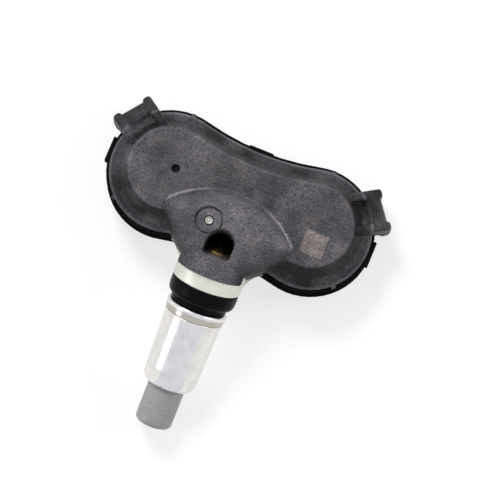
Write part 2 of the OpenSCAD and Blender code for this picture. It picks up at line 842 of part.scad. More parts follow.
// The pin at rest, with the collar that the spring bears on.
module core_pin() {
    resting() color([0.8, 0.7, 0.45])
        on_valve()
            union() {
                translate([0, 0, core_floor - 1])
                    cylinder(r = pin_r, h = core_depth + 0.7);
                translate([0, 0, collar_at])
                    cylinder(r = barrel_r - 0.6, h = 0.6);
            }
}

module core_cup() {
    resting() color([0.15, 0.15, 0.16])
        on_valve(core_floor - 1)
            difference() {
                cylinder(r = 1.1, h = 1 - fine_gap);
                translate([0, 0, -1])
                    cylinder(r = pin_r + fine_gap, h = 4);
            }
}

// The pin's spring, drawn at its pressed length so that the pin's travel stays free.
module core_spring() {
    resting() color([0.7, 0.7, 0.7])
        on_valve(spring_floor)
            difference() {
                cylinder(r = barrel_r - 0.6, h = collar_at - pin_travel - run_gap - spring_floor);
                translate([0, 0, -1])
                    cylinder(r = pin_r + 0.3, h = over);
            }
}

module valve_cap() {
    resting() color([0.6, 0.6, 0.61])
        on_valve(cap_at)
            difference() {
                rotate_extrude()
                    polygon(concat([[0, 0], [cap_r - 0.3, 0], [cap_r, 0.3]],
                        [for (a = [0 : 15 : 90]) [cap_r - cap_round * (1 - cos(a)),
                            cap_length - cap_round * (1 - sin(a))]], [[0, cap_length]]));
                translate([0, 0, -1])
                    cylinder(r = thread_r + run_gap, h = 1 + cap_length - cap_end_t);
            }
}

module cap_seal() {
    resting() color([0.15, 0.15, 0.16])
        on_valve(shaft_length)
            difference() {
                cylinder(r = thread_r, h = 1);
                translate([0, 0, -1])
                    cylinder(r = 1.6, h = 1.6);
            }
}

housing_tray();
front_cover();
cover_gasket();
circuit_board();
battery_cell();
battery_top_strip();
battery_bottom_strip();
pressure_sensor();
port_seal();
control_chip();
crystal();
capacitors();
coil_core();
coil_winding();
antenna_strip();
contact_pin();
valve_stem();
stem_clip();
rim_grommet();
nut_washer();
rim_nut();
core_body();
core_seal();
core_pin();
core_cup();
core_spring();
valve_cap();
cap_seal();
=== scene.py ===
"""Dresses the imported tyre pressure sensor: smooth mouldings, turned metal, rubber and a plain pale studio."""

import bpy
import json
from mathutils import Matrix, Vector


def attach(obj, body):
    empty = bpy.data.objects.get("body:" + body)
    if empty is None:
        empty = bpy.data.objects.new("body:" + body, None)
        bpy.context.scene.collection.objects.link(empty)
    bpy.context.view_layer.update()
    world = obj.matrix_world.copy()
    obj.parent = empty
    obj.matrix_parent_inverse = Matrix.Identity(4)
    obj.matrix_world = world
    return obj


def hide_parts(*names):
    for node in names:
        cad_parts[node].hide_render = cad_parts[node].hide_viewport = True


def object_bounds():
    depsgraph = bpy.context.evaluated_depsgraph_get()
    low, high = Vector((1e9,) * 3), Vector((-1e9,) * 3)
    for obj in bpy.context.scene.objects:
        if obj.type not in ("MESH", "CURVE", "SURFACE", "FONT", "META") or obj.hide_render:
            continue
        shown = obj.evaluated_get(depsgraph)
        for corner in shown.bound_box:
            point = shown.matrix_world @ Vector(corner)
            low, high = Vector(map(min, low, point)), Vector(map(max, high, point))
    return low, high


bl_info = {
    "name": "Tyre Pressure Sensor",
    "version": (1, 0, 0),
    "blender": (4, 5, 0),
    "location": "3D Viewport > Sidebar > Sensor",
    "description": "Builds the looks of a tyre pressure sensor on its packed frame",
    "category": "Object",
}

import json
import math

import bmesh
import bpy
import numpy as np
from bpy.props import FloatProperty, FloatVectorProperty, IntProperty, PointerProperty
from mathutils import Matrix, Vector

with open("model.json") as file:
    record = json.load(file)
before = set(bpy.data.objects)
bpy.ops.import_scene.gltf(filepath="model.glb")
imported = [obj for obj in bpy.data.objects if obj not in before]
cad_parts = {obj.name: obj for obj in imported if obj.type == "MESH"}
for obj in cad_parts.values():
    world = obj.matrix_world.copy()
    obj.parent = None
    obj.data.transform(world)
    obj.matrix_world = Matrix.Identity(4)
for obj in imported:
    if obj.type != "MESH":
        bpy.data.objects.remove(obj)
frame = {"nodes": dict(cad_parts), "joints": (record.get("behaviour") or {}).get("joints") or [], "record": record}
CAD_BOX = [list(corner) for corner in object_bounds()]

MM = 0.001
NODES = frame["nodes"]
VALVE_OUT = np.array(next(j["axis"] for j in frame["joints"] if j["name"] == "washer_travel"), float)
VALVE_UP = np.array([0.0, VALVE_OUT[2], -VALVE_OUT[1]])
ACROSS = np.array([1.0, 0.0, 0.0])

# Places on the cover in millimetres. Those named BACK are measured back from the grommet's seat, and those
# named AT across and back from the middle of the housing.
ARC_BACK = 0.65  # centre of the hood's back edge
LIP = 0.35  # how far the hood's mouth stands out round the head
SPREAD_BACK = 4.2  # where the hood starts to grow wider than its mouth
RECESS_BACK = 13
WINDOW_BACK, WINDOW_LENGTH, WINDOW_HALF, WINDOW_CORNER = 5.1, 7.2, 3.6, 0.9
PORT_AT = (-17.7, 0.35)
PATCH_AT = (21.4, -4.3)

# Places round the lobes: side of the housing (1 or -1) and degrees.
LATCHES = {1: 37, -1: 143}
TABS = ((1, 90), (1, -47), (-1, 90), (-1, 227))

# Places along the valve in millimetres from the seat, and radii there.
WASHER_AT = 5.95
NUT_THREAD, NUT_THREAD_R = (10.6, 25.0), 3.95
CAP_THREAD, CAP_THREAD_R = (27.5, 36.2), 3.85
STEM_END, CAP_END = 36.8, 39.1
HEX_LENGTH, HEX_TURN = 4.6, 21.1 + 90  # the turn is in degrees

# Lamps: place to the right, up and towards the camera in metres, width in metres, and watts.
LAMPS = {
    "key": ((-0.22, 0.56, 0.58), 0.26, 3.1),
    "fill": ((0.66, 0.10, 0.42), 0.3, 1.5),
    "rim": ((-0.70, -0.10, 0.30), 0.2, 0.5),
}


# ---- sizes and colours ----


def length(value, description):
    """A length in millimetres, kept in metres."""
    return FloatProperty(
        name=description.split(",")[0], description=description, default=value * MM, min=0.0,
        subtype="DISTANCE", unit="LENGTH", precision=5,
    )


def colour(value, description):
    """A linear colour."""
    return FloatVectorProperty(
        name=description, description=description, default=value, size=3, min=0.0, max=1.0, subtype="COLOR"
    )


class SensorSizes(bpy.types.PropertyGroup):
    """Sizes of the dressed pieces."""

    lobe_x: length(19, "Lobe offset, from the middle of the housing to a lobe's centre")
    rim_r: length(16.1, "Tray radius, at each lobe")
    cover_r: length(15.4, "Cover radius, at each lobe's edge")
    waist_y: length(13.85, "Waist, half the tray's width at its middle")
    face_z: length(6, "Face height, above the parting line")
    hood_rise: length(4.6, "Hood rise, above the face")
    hood_arc_r: length(22, "Hood arc, radius of its back edge")
    hood_blend: length(0.3, "Hood blend, width of the fillet round the hood")
    seat_back: length(22.4, "Seat distance, from the housing's middle line to the grommet seat")
    seat_drop: length(1.3, "Seat drop, below the parting line")
    head_r: length(8.8, "Head radius")
    head_length: length(6.9, "Head length")
    recess_x: length(-4.7, "Recess offset, along the housing")
    recess_r: length(3.6, "Recess radius")
    nut_r: length(7.45, "Nut radius")
    nut_length: length(21.1, "Nut length")
    hex_af: length(12, "Nut flats, distance across")
    cap_r: length(4.75, "Cap radius")
    cap_length: length(12.5, "Cap length")
    thread_pitch: length(0.8, "Thread pitch, of the valve's cap thread")
    valve_angle: FloatProperty(
        name="Valve angle", description="Slope of the valve below the housing's plane",
        default=math.radians(25), subtype="ANGLE", unit="ROTATION",
    )
    cap_ribs: IntProperty(name="Cap ribs", description="Fine upright ribs round the cap", default=54, min=12)


class SensorColours(bpy.types.PropertyGroup):
    """Colours of the finishes."""

    cover: colour((0.095, 0.091, 0.104), "Cover plastic")
    tray: colour((0.009, 0.009, 0.010), "Tray plastic")
    bright: colour((0.70, 0.69, 0.735), "Nut and washer metal")
    plain: colour((0.72, 0.72, 0.65), "Valve metal")
    cap: colour((0.45, 0.45, 0.465), "Cap")
    rubber: colour((0.003, 0.003, 0.004), "Grommet rubber")
    brass: colour((0.56, 0.41, 0.17), "Brass")
    steel: colour((0.62, 0.62, 0.61), "Plain steel")
    floor: colour((0.86, 0.86, 0.87), "Floor")
    patch: colour((0.36, 0.31, 0.28), "Paler patch on the cover")
    collar: colour((0.50, 0.47, 0.42), "Nut collar")
    # Painted reflection: the warm tone the nut's sides take where they face across. At half strength it is also
    # the contact pin's own colour.
    warm: colour((0.82, 0.80, 0.76), "Nut sides")
    silicone: colour((0.03, 0.012, 0.010), "Port seal")


class SensorStage(bpy.types.PropertyGroup):
    """Camera and light."""

    roll: FloatProperty(
        name="Roll", description="Turn of the housing in the picture", default=math.radians(22.1),
        subtype="ANGLE"
    )
    pitch: FloatProperty(
        name="Pitch", description="Lean of the view towards the valve", default=math.radians(10.5),
        subtype="ANGLE"
    )
    yaw: FloatProperty(
        name="Yaw", description="Lean of the view along the housing", default=math.radians(3.4),
        subtype="ANGLE"
    )
    distance: FloatProperty(name="Distance", description="Camera distance", default=0.9, unit="LENGTH")
    field: FloatProperty(
        name="Field", description="Width that the picture shows", default=0.12, unit="LENGTH"
    )


def sizes():
    """The sizes in millimetres, and the angles in radians, by name."""
    group = bpy.context.scene.sensor_sizes
    return {
        n: getattr(group, n) if n in ("valve_angle", "cap_ribs") else getattr(group, n) / MM
        for n in SensorSizes.__annotations__
    }


def colours():
    return bpy.context.scene.sensor_colours


# ---- places ----


def from_housing(points):
    """Millimetres in the housing's frame (z up from the parting line) to metres in the row's frame: the
    housing is turned about X by the difference between the valve's slope there and at rest, with the seat
    at the origin."""
    s = sizes()
    turn = s["valve_angle"] - math.atan2(-VALVE_OUT[2], -VALVE_OUT[1])
    p = np.asarray(points, float).reshape(-1, 3)
    y, z = p[:, 1] + s["seat_back"], p[:, 2] + s["seat_drop"]
    c, n = math.cos(turn), math.sin(turn)
    return np.column_stack([p[:, 0], y * c + z * n, z * c - y * n]) * MM


def from_valve(points):
    """Millimetres on the valve's axis (x across, y to the roof, z to the cap) to metres in the row's
    frame."""
    p = np.asarray(points, float).reshape(-1, 3)
    return (p[:, :1] * ACROSS + p[:, 1:2] * VALVE_UP + p[:, 2:3] * VALVE_OUT) * MM


def valve_to_housing(points):
    """The valve's own millimetres to the housing's."""
    s = sizes()
    c, n = math.cos(s["valve_angle"]), math.sin(s["valve_angle"])
    p = np.asarray(points, float).reshape(-1, 3)
    return np.column_stack([
        p[:, 0], -s["seat_back"] - p[:, 1] * n - p[:, 2] * c, -s["seat_drop"] + p[:, 1] * c - p[:, 2] * n
    ])


def by_housing(points):
    """from_valve by way of the housing's frame."""
    return from_housing(valve_to_housing(points))


def at_lobe(points, side, degrees):
    """From millimetres at a lobe (x out from its centre at an angle, y across, z up) to the row's metres."""
    c, n = math.cos(math.radians(degrees)), math.sin(math.radians(degrees))
    p = np.asarray(points, float)
    return from_housing(np.column_stack([
        side * sizes()["lobe_x"] + p[:, 0] * c - p[:, 1] * n, p[:, 0] * n + p[:, 1] * c, p[:, 2],
    ]))


# ---- meshes ----


def new_mesh(name, points, *faces):
    """A mesh from an array of points and arrays of faces with three, four or more corners each."""
    mesh = bpy.data.meshes.new(name)
    corners = np.concatenate([f.ravel() for f in faces]).astype(np.int32)
    sizes_ = np.concatenate([np.full(len(f), f.shape[1]) for f in faces]).astype(np.int32)
    starts = np.concatenate([[0], np.cumsum(sizes_)[:-1]]).astype(np.int32)
    mesh.vertices.add(len(points))
    mesh.vertices.foreach_set("co", np.asarray(points, np.float32).ravel())
    mesh.loops.add(len(corners))
    mesh.loops.foreach_set("vertex_index", corners)
    mesh.polygons.add(len(sizes_))
    mesh.polygons.foreach_set("loop_start", starts)
    mesh.update(calc_edges=True)
    mesh.validate()
    return mesh


def mesh_points(mesh):
    """The places of a mesh's vertices."""
    points = np.zeros(len(mesh.vertices) * 3, np.float32)
    mesh.vertices.foreach_get("co", points)
    return points.reshape(-1, 3)


def new_object(name, mesh):
    obj = bpy.data.objects.new(name, mesh)
    bpy.context.scene.collection.objects.link(obj)
    return obj


def grid(rows, columns, round_rows=False, round_columns=True):
    """The quads of a grid of points in row order; either way may close on itself."""
    i = np.arange(rows if round_rows else rows - 1)
    j = np.arange(columns if round_columns else columns - 1)
    i, j = np.meshgrid(i, j, indexing="ij")
    a, b = i * columns + j, i * columns + (j + 1) % columns
    c, d = (i + 1) % rows * columns + (j + 1) % columns, (i + 1) % rows * columns + j
    return np.stack([a, b, c, d], axis=-1).reshape(-1, 4)


def softened(points, rounds=2, share=0.25):
    """A closed outline with each corner cut off at a share of its sides, several times, which rounds it."""
    p = np.asarray(points, float)
    for _ in range(rounds):
        q = np.roll(p, -1, axis=0)
        p = np.stack([p + share * (q - p), q - share * (q - p)], axis=1).reshape(-1, 2)
    return p


def bevelled(points, width):
    """A closed outline with each corner replaced by three points that round it off at up to the given
    distance."""
    p = np.asarray(points, float)
    before, after = np.roll(p, 1, axis=0) - p, np.roll(p, -1, axis=0) - p
    lb, la = np.linalg.norm(before, axis=1, keepdims=True), np.linalg.norm(after, axis=1, keepdims=True)
    a = p + before / lb * np.minimum(width, 0.4 * lb)
    b = p + after / la * np.minimum(width, 0.4 * la)
    return np.stack([a, (a + b) / 2 * 0.4 + p * 0.6, b], axis=1).reshape(-1, 2)


def revolved(profile, columns, shape=None):
    """The points of a profile of [radius, height] carried round the axis. shape may change the radius by
    angle and height."""
    angle = np.arange(columns) * 2 * math.pi / columns
    r = np.repeat(profile[:, :1], columns, axis=1)
    z = np.repeat(profile[:, 1:], columns, axis=1)
    if shape is not None:
        r = shape(r, angle[None, :], z)
    return np.stack([r * np.cos(angle), r * np.sin(angle), z], axis=-1).reshape(-1, 3)


def turned(loop, columns, shape=None):
    """A ring from a closed loop of [radius, height]. The radii stay above nothing, so the ring has a bore."""
    loop = np.asarray(loop, float)
    return revolved(loop, columns, shape), grid(len(loop), columns, round_rows=True)


def spun(profile, columns):
    """A closed solid of revolution: a profile of [radius, height] from one end of the axis to the other,
    with a fan of triangles at each pole."""
    profile = np.asarray(profile, float)
    points = revolved(profile, columns)
    n = len(points)
    points = np.vstack([points, [0, 0, profile[0, 1]], [0, 0, profile[-1, 1]]])
    j = np.arange(columns)
    k = (j + 1) % columns
    last = (len(profile) - 1) * columns
    start = np.column_stack([np.full(columns, n), k, j])
    end = np.column_stack([np.full(columns, n + 1), last + j, last + k])
    return points, grid(len(profile), columns), np.vstack([start, end])


def extruded(outline, low, high):
    """A closed prism: an outline of [x, y] from one height to another, with a flat face at each end."""
    outline = np.asarray(outline, float)
    n = len(outline)
    points = np.vstack([np.column_stack([outline, np.full(n, h)]) for h in (low, high)])
    return points, grid(2, n), np.arange(n)[None, ::-1], np.arange(n, 2 * n)[None, :]


def block(low, high):
    """A plain box between two corners, for cutting with."""
    corners = [[low[0], low[1]], [high[0], low[1]], [high[0], high[1]], [low[0], high[1]]]
    return extruded(corners, low[2], high[2])


def outwards(mesh):
    """Turns every face of a closed mesh outwards."""
    work = bmesh.new()
    work.from_mesh(mesh)
    bmesh.ops.recalc_face_normals(work, faces=work.faces)
    work.to_mesh(mesh)
    work.free()
    return mesh


def solid(name, shape, place, bevel=0.0, clamp=True):
    """A closed solid as an object, placed by a function from millimetres to the row's metres. Without
    clamp, the bevel goes past the short sides of a rounded outline."""
    points, faces = shape[0], shape[1:]
    obj = new_object(name, outwards(new_mesh(name, place(points), *faces)))
    if bevel:
        rounding = obj.modifiers.new("rounding", "BEVEL")
        rounding.width, rounding.segments, rounding.limit_method = bevel * MM, 4, "ANGLE"
        rounding.angle_limit = math.radians(30)
        rounding.use_clamp_overlap = clamp
        settle(obj)
    return obj


def settle(obj):
    """Makes what the modifiers give the object's own mesh."""
    done = bpy.data.meshes.new_from_object(obj.evaluated_get(bpy.context.evaluated_depsgraph_get()))
    obj.modifiers.clear()
    obj.data = done


def combine(obj, tools, operation):
    """Joins, cuts or keeps the common part of closed solids, one tool after another; the tools are used
    up."""
    for tool in tools:
        step = obj.modifiers.new("step", "BOOLEAN")
        step.operation, step.solver, step.object = operation, "MANIFOLD", tool
        settle(obj)
        bpy.data.objects.remove(tool)
    if not len(obj.data.polygons):
        raise RuntimeError(f"{obj.name}: nothing is left of the solid")


def finished(obj, body, material, stands_for=(), sharp=35.0):
    """Smooth shading with sharp edges above an angle, the finish, the body that it rides on and what it
    replaces."""
    obj.data.shade_smooth()
    obj.data.set_sharp_from_angle(angle=math.radians(sharp))
    obj.data.materials.clear()
    obj.data.materials.append(material)
    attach(obj, body)
    if stands_for:
        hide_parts(*stands_for)
    return obj


def smooth_copy(node, name, material, sharp=30.0):
    """A copy of a CAD node with its loose triangles joined: equal corners become one, triangles with no
    area go, and the curved faces are shaded as one."""
    mesh = NODES[node].data
    corners = np.zeros(len(mesh.loops), np.int32)
    mesh.loops.foreach_get("vertex_index", corners)
    step = 2e-6
    keys, index = np.unique(np.round(mesh_points(mesh) / step).astype(np.int64), axis=0, return_inverse=True)
    faces = index.ravel()[corners].reshape(-1, 3)
    kept = (faces[:, 0] != faces[:, 1]) & (faces[:, 1] != faces[:, 2]) & (faces[:, 2] != faces[:, 0])
    obj = new_object(name, new_mesh(name, keys * step, faces[kept]))
    body = next(b for b, ns in frame["record"]["behaviour"]["bodies"].items() if node in ns)
    finished(obj, body, material, (node,), sharp)
    weights = obj.modifiers.new("even shading", "WEIGHTED_NORMAL")
    weights.keep_sharp = True
    return obj


# ---- the cover's surface, as heights over the housing's plane ----


def flank_arc():
    """The arc between the lobes: how far its centre lies from the housing's middle line, and the sum of its
    radius and the lobe radius, which is the same for each line round the housing."""
    s = sizes()
    bulge = s["rim_r"] - s["waist_y"]
    centre = (s["lobe_x"] ** 2 - bulge ** 2) / (2 * bulge)
    return centre, centre - s["waist_y"] + s["rim_r"]


def lobe_distance(x, y):
    """How far out a point lies, as the lobe radius of the outline through it. Beside a lobe this is the
    distance to its centre; between the lobes it falls with the distance to the flank's centre, so the lines
    stay tangent."""
    (centre, reach), lobe_x = flank_arc(), sizes()["lobe_x"]
    ax, ay = np.abs(x), np.abs(y)
    flank = ax * centre < lobe_x * (centre - ay)
    return np.where(flank, reach - np.hypot(ax, centre - ay), np.hypot(ax - lobe_x, y))


def outline(r, per_lobe=96, per_flank=44):
    """The housing's outline for lobe radius r, from tangent arcs: convex round the lobes, hollow between
    them."""
    (centre, reach), lobe_x = flank_arc(), sizes()["lobe_x"]
    tangent = math.atan2(centre, -lobe_x)
    swing = tangent - math.pi / 2
    flank_r = reach - r
    lobe = np.linspace(-tangent, tangent, per_lobe, endpoint=False)
    flank = np.linspace(swing, -swing, per_flank, endpoint=False)
    right = np.column_stack([lobe_x + r * np.cos(lobe), r * np.sin(lobe)])
    back = np.column_stack([flank_r * np.sin(flank), centre - flank_r * np.cos(flank)])
    half = np.vstack([right, back])
    return np.vstack([half, -half])


def shell_section():
    """The cover from its edge to its flat face as [lobe radius, height]: edge, shoulder, crease and wall.
    Points between the measured ones follow a cubic through their neighbours."""
    s = sizes()
    f, c = s["face_z"], s["cover_r"]
    key = np.array([
        [c, 0.0], [c, 0.5], [c - 0.08, 0.72], [c - 0.3, 0.95], [c - 0.8, 1.52], [c - 1.6, 2.12],
        [c - 2.25, 2.45], [c - 2.62, 2.68], [c - 2.88, 3.0], [c - 3.35, 3.72], [c - 3.95, 4.72],
        [c - 4.3, f - 0.72], [c - 4.52, f - 0.36], [c - 4.8, f - 0.12], [c - 5.2, f - 0.015],
        [c - 5.6, f], [c - 6.4, f],
    ])
    padded = np.vstack([key[:1], key, key[-1:]])
    t = np.linspace(0, 1, 6, endpoint=False)[None, :, None]
    a, b, g, d = padded[:-3, None], padded[1:-2, None], padded[2:-1, None], padded[3:, None]
    square, cube = 2 * a - 5 * b + 4 * g - d, 3 * b - a - 3 * g + d
    curve = 0.5 * (2 * b + (g - a) * t + square * t ** 2 + cube * t ** 3)
    return np.vstack([curve.reshape(-1, 2), key[-1:]])


def shell_height(x, y):
    """Height of the cover's shell over a place: the section read at the place's lobe distance."""
    section = shell_section()[::-1]
    r = lobe_distance(x, y)
    return np.interp(r, section[:, 0], section[:, 1]) - 8 * np.clip(r - section[-1, 0], 0, 0.5)


def blend_low(a, b, k):
    """The lower of two heights, with a round valley edge of width k where they cross."""
    h = np.clip(0.5 + 0.5 * (b - a) / k, 0, 1)
    return b + (a - b) * h - k * h * (1 - h)


def blend_high(a, b, k):
    """The higher of two heights, with a fillet of width k where they cross."""
    return -blend_low(-a, -b, k)


def hood_height(x, y):
    """The hood by itself: the lower of a dome, which rises from a round back edge as 1 - (1 - t)^2.45, and
    of an arch over the valve, whose superelliptic section grows wider and squarer from the mouth to the
    back."""
    s = sizes()
    seat = -s["seat_back"]
    inside = s["hood_arc_r"] - np.hypot(x, y - seat - ARC_BACK)
    t = np.clip(inside / 9, 0, 1)
    dome = s["face_z"] + s["hood_rise"] * (1 - (1 - t) ** 2.45) + 1.25 * np.minimum(inside, 0)
    forward = np.clip(y - seat - SPREAD_BACK, 0, None)
    half = s["head_r"] + LIP + forward
    power = 2.2 + 0.5 * np.clip(forward / 8.8, 0, 1)
    roof = s["face_z"] + s["hood_rise"]
    crest = np.minimum(roof, roof - 1.26 + 0.098 * (y - seat - 0.14))
    base = 0.64
    share = np.abs(x) / half
    arch = base + (crest - base) * np.clip(1 - share ** power, 0, 1) ** (1 / power)
    arch = arch - 5 * np.clip(np.abs(x) - half, 0, None)
    return blend_low(dome, arch, 1.3)


def window_ends():
    """Where the window's flat front lies, and the centre of its round back."""
    front = -sizes()["seat_back"] + WINDOW_BACK
    return front, front + WINDOW_LENGTH - WINDOW_HALF


def window_distance(x, y):
    """Signed distance to the window's outline, flat in front and round behind, below nothing inside it."""
    front, back = window_ends()
    round_back = np.hypot(x, y - back) - WINDOW_HALF
    qx, qy = np.abs(x) - (WINDOW_HALF - WINDOW_CORNER), front + WINDOW_CORNER - y
    beyond = np.hypot(np.maximum(qx, 0), np.maximum(qy, 0))
    square_front = beyond + np.minimum(np.maximum(qx, qy), 0) - WINDOW_CORNER
    return np.where(y > back, round_back, square_front)


def eased(distance, r):
    """How far an edge that is rounded at radius r lies below its face, at a distance from the cut."""
    d = np.clip(distance, 0, r)
    return r - np.sqrt(r ** 2 - (r - d) ** 2)


def hood_top(x, y):
    """The hood blended into the shell, with the edges of its window and recess eased. Away from the hood the
    surface sinks under the shell, so that joining the two solids leaves one skin."""
    s = sizes()
    hood, shell = hood_height(x, y), shell_height(x, y)
    z = blend_high(hood, shell, s["hood_blend"])
    z = z - 0.7 * np.clip((shell - hood - s["hood_blend"]) / 1.2, 0, 1)
    recess = np.hypot(x - s["recess_x"], y + s["seat_back"] - RECESS_BACK) - s["recess_r"]
    z = z - eased(window_distance(x, y), 0.4) - eased(recess, 0.25)
    return np.maximum(z, -2.0)


# ---- operators: the plastic pieces ----


def shell_solid():
    """The shell: the outline at each radius of the section, ring on ring, closed by flat faces."""
    section = shell_section()
    rings = np.stack([outline(r) for r, _ in section])
    heights = np.broadcast_to(section[:, 1][:, None, None], rings.shape[:2] + (1,)).copy()
    heights[0] -= 0.5
    points = np.concatenate([rings, heights], axis=2)
    k, n = points.shape[:2]
    ends = np.arange(n)[None, ::-1], (np.arange(n) + (k - 1) * n)[None, :]
    return (points.reshape(-1, 3), grid(k, n)) + ends


def hood_solid(step=0.15):
    """The hood: the height over each place of a fine grid, closed by its sides and a flat face below."""
    half, front, back = 19.8, -24.0, 2.2
    xs = np.arange(-half, half + step / 2, step)
    ys = np.arange(front, back + step / 2, step)
    x, y = np.meshgrid(xs, ys, indexing="ij")
    top = np.stack([x, y, hood_top(x, y)], axis=-1)
    rows, columns = x.shape
    number = np.arange(rows * columns).reshape(rows, columns)
    edge = np.concatenate([number[0, :-1], number[:-1, -1], number[-1, :0:-1], number[:0:-1, 0]])
    foot = top.reshape(-1, 3)[edge] * [1, 1, 0] - [0, 0, 3]
    n = len(edge)
    ring = np.arange(n) + rows * columns
    sides = np.column_stack([edge, np.roll(edge, -1), np.roll(ring, -1), ring])
    surface = grid(rows, columns, round_columns=False)
    return np.vstack([top.reshape(-1, 3), foot]), surface, sides, ring[None, :]


def plate(side_view, low, high):
    """A plate whose side view is an outline of [x, z], between two places across."""
    points, *faces = extruded(side_view, low, high)
    return (points[:, [0, 2, 1]], *faces)


def latch_pieces(side):
    """A latch's arms with round ears, its sloped web and the bar at its foot."""
    r, f = sizes()["rim_r"], sizes()["face_z"]
    tip, outer, gap, foot = r + 3.5, r + 2.4, r + 0.3, -5.4
    arm = softened([
        [9.9, f - 1.2], [10.3, f - 0.5], [11.6, f - 0.15], [13.2, f - 0.75], [tip - 1.5, 3.1],
        [tip - 0.35, 2.65], [tip, 1.6], [tip, foot + 0.7], [tip - 0.7, foot], [gap, foot], [gap, 0.1],
        [9.9, 0.1],
    ], 3)
    web = softened([
        [13.0, 0.1], [13.0, 2.1], [14.9, 2.4], [15.2, 3.5], [16.1, 3.9], [17.4, 3.3], [outer, 2.4],
        [outer + 0.4, 1.0], [outer + 0.4, 0.05], [gap, 0.05],
    ], 2)
    bar = softened([[gap, foot], [outer, foot], [outer, foot + 1.7], [gap, foot + 1.7]], 1, 0.15)
    place = lambda p: at_lobe(p, side, LATCHES[side])
    made = [solid("arm", plate(arm, low, low + 2.3), place, 0.85, False) for low in (-5.4, 3.1)]
    made.append(solid("web", plate(web, -4.6, 4.6), place, 0.12))
    made.append(solid("bar", plate(bar, -4.6, 4.6), place, 0.2))
    return made


class SENSOR_OT_cover(bpy.types.Operator):
    """Front cover with its hood, window, recess, pressure port and snap latches"""

    bl_idname = "sensor.cover"
    bl_label = "Front cover"
    flank = [[8.4, -18.45], [12.1, -15.5], [13.4, -14.5], [14.5, -25], [8.4, -25]]

    def execute(self, context):
        s = sizes()
        cover = solid("cover_moulding", shell_solid(), from_housing)
        combine(cover, [solid("hood", hood_solid(), from_housing)], "UNION")
        tab = block([s["cover_r"] - 0.5, -0.6, 0.02], [s["rim_r"], 0.6, 0.55])
        tabs = [solid("tab", tab, lambda p: at_lobe(p, side, angle), 0.12) for side, angle in TABS]
        combine(cover, tabs, "UNION")
        combine(cover, self.cuts(s, -s["seat_back"], s["face_z"], s["face_z"] + s["hood_rise"]), "DIFFERENCE")
        combine(cover, latch_pieces(1) + latch_pieces(-1), "UNION")
        # The cover's colour carries painted edge highlights and painted light and shade by its form.
        plastic = moulded_plastic(
            "cover_plastic", colours().cover, 0.46, 1.0, 0.85, edge=1.1, gloss=0.12, relief=cover_painted_light,
            patch=square_patch,
        )
        finished(cover, "sensor", plastic, ("front_cover",))
        return {"FINISHED"}

    def cuts(self, s, seat, face, roof):
        """What is cut from the cover, in order, with the heights of its flat face and of the hood's roof."""
        mouth = lambda p: from_housing(np.minimum(valve_to_housing(p), [99, 99, roof - 1.75]))
        head, long = s["head_r"] + 0.06, s["head_length"]
        pocket = solid("pocket", extruded(self.window_outline(), -1, roof + 3), from_housing)
        combine(pocket, [solid("back", spun([[30, -60], [30, -long - 1.7]], 48), by_housing)], "INTERSECT")
        depth, r = roof - 0.75, s["recess_r"]
        recess = [
            [1.3, roof - 1.5], [1.3, depth - 0.08], [1.38, depth], [r - 0.63, depth],
            [r - 0.55, depth - 0.08], [r - 0.55, roof - 1.5], [r, roof - 1.5], [r, roof + 3],
        ]
        port = [
            [1.12, face - 2.5], [1.12, face - 0.2], [1.2, face - 0.06], [1.42, face + 0.01],
            [1.42, face + 1],
        ]
        aside = lambda p: from_housing(p + [s["recess_x"], seat + RECESS_BACK, 0])
        return [
            solid("below", block([-60, -60, -10], [60, 60, 0]), from_housing),
            solid("mouth", spun([[head, -long], [head, 12]], 200), mouth),
            solid("front", spun([[18, -4.0], [18, 12]], 96), by_housing),
            solid("bore", spun([[2.92, -long - 2.5], [2.92, -long + 1]], 96), by_housing),
            pocket,
            *[
                solid("flank", extruded([[side * x, y] for x, y in self.flank], -1, 5), from_housing)
                for side in (1, -1)
            ],
            solid("recess", spun(recess, 160), aside),
            solid("port", spun(port, 96), lambda p: from_housing(p + [*PORT_AT, 0])),
        ]

    @staticmethod
    def window_outline():
        """The window's outline, one side drawn and the other mirrored."""
        (front, back), half, corner = window_ends(), WINDOW_HALF, WINDOW_CORNER
        low = np.linspace(-math.pi / 2, 0, 12)
        high = np.linspace(0, math.pi / 2, 40)
        right = np.vstack([
            np.column_stack([half - corner + corner * np.cos(low), front + corner + corner * np.sin(low)]),
            np.column_stack([half * np.cos(high), back + half * np.sin(high)]),
        ])
        left = (right * [-1, 1])[::-1][1:]
        return np.vstack([right, left])


class SENSOR_OT_tray(bpy.types.Operator):
    """Black tray that the cover snaps on"""

    bl_idname = "sensor.tray"
    bl_label = "Tray"

    def execute(self, context):
        # A strong painted highlight along the tray's edges.
        plastic = moulded_plastic("tray_plastic", colours().tray, 0.6, 0.5, 0.3, edge=2.5, gloss=0.0)
        smooth_copy("housing_tray", "tray_moulding", plastic)
        return {"FINISHED"}


# ---- operators: the valve ----


def thread(pitch, depth, low, high, size):
    """Changes a radius to a single-start screw thread: a triangle wave of height plus turn, faded out at
    the ends, on what stands at the given radius."""
    def shape(r, angle, z):
        phase = (z / pitch - angle / (2 * math.pi)) % 1.0
        wave = np.abs(2 * phase - 1)
        fade = np.clip((z - low) / pitch, 0, 1) * np.clip((high - z) / pitch, 0, 1)
        return np.where(np.abs(r - size) < 0.02, r - depth * wave * fade, r)
    return shape


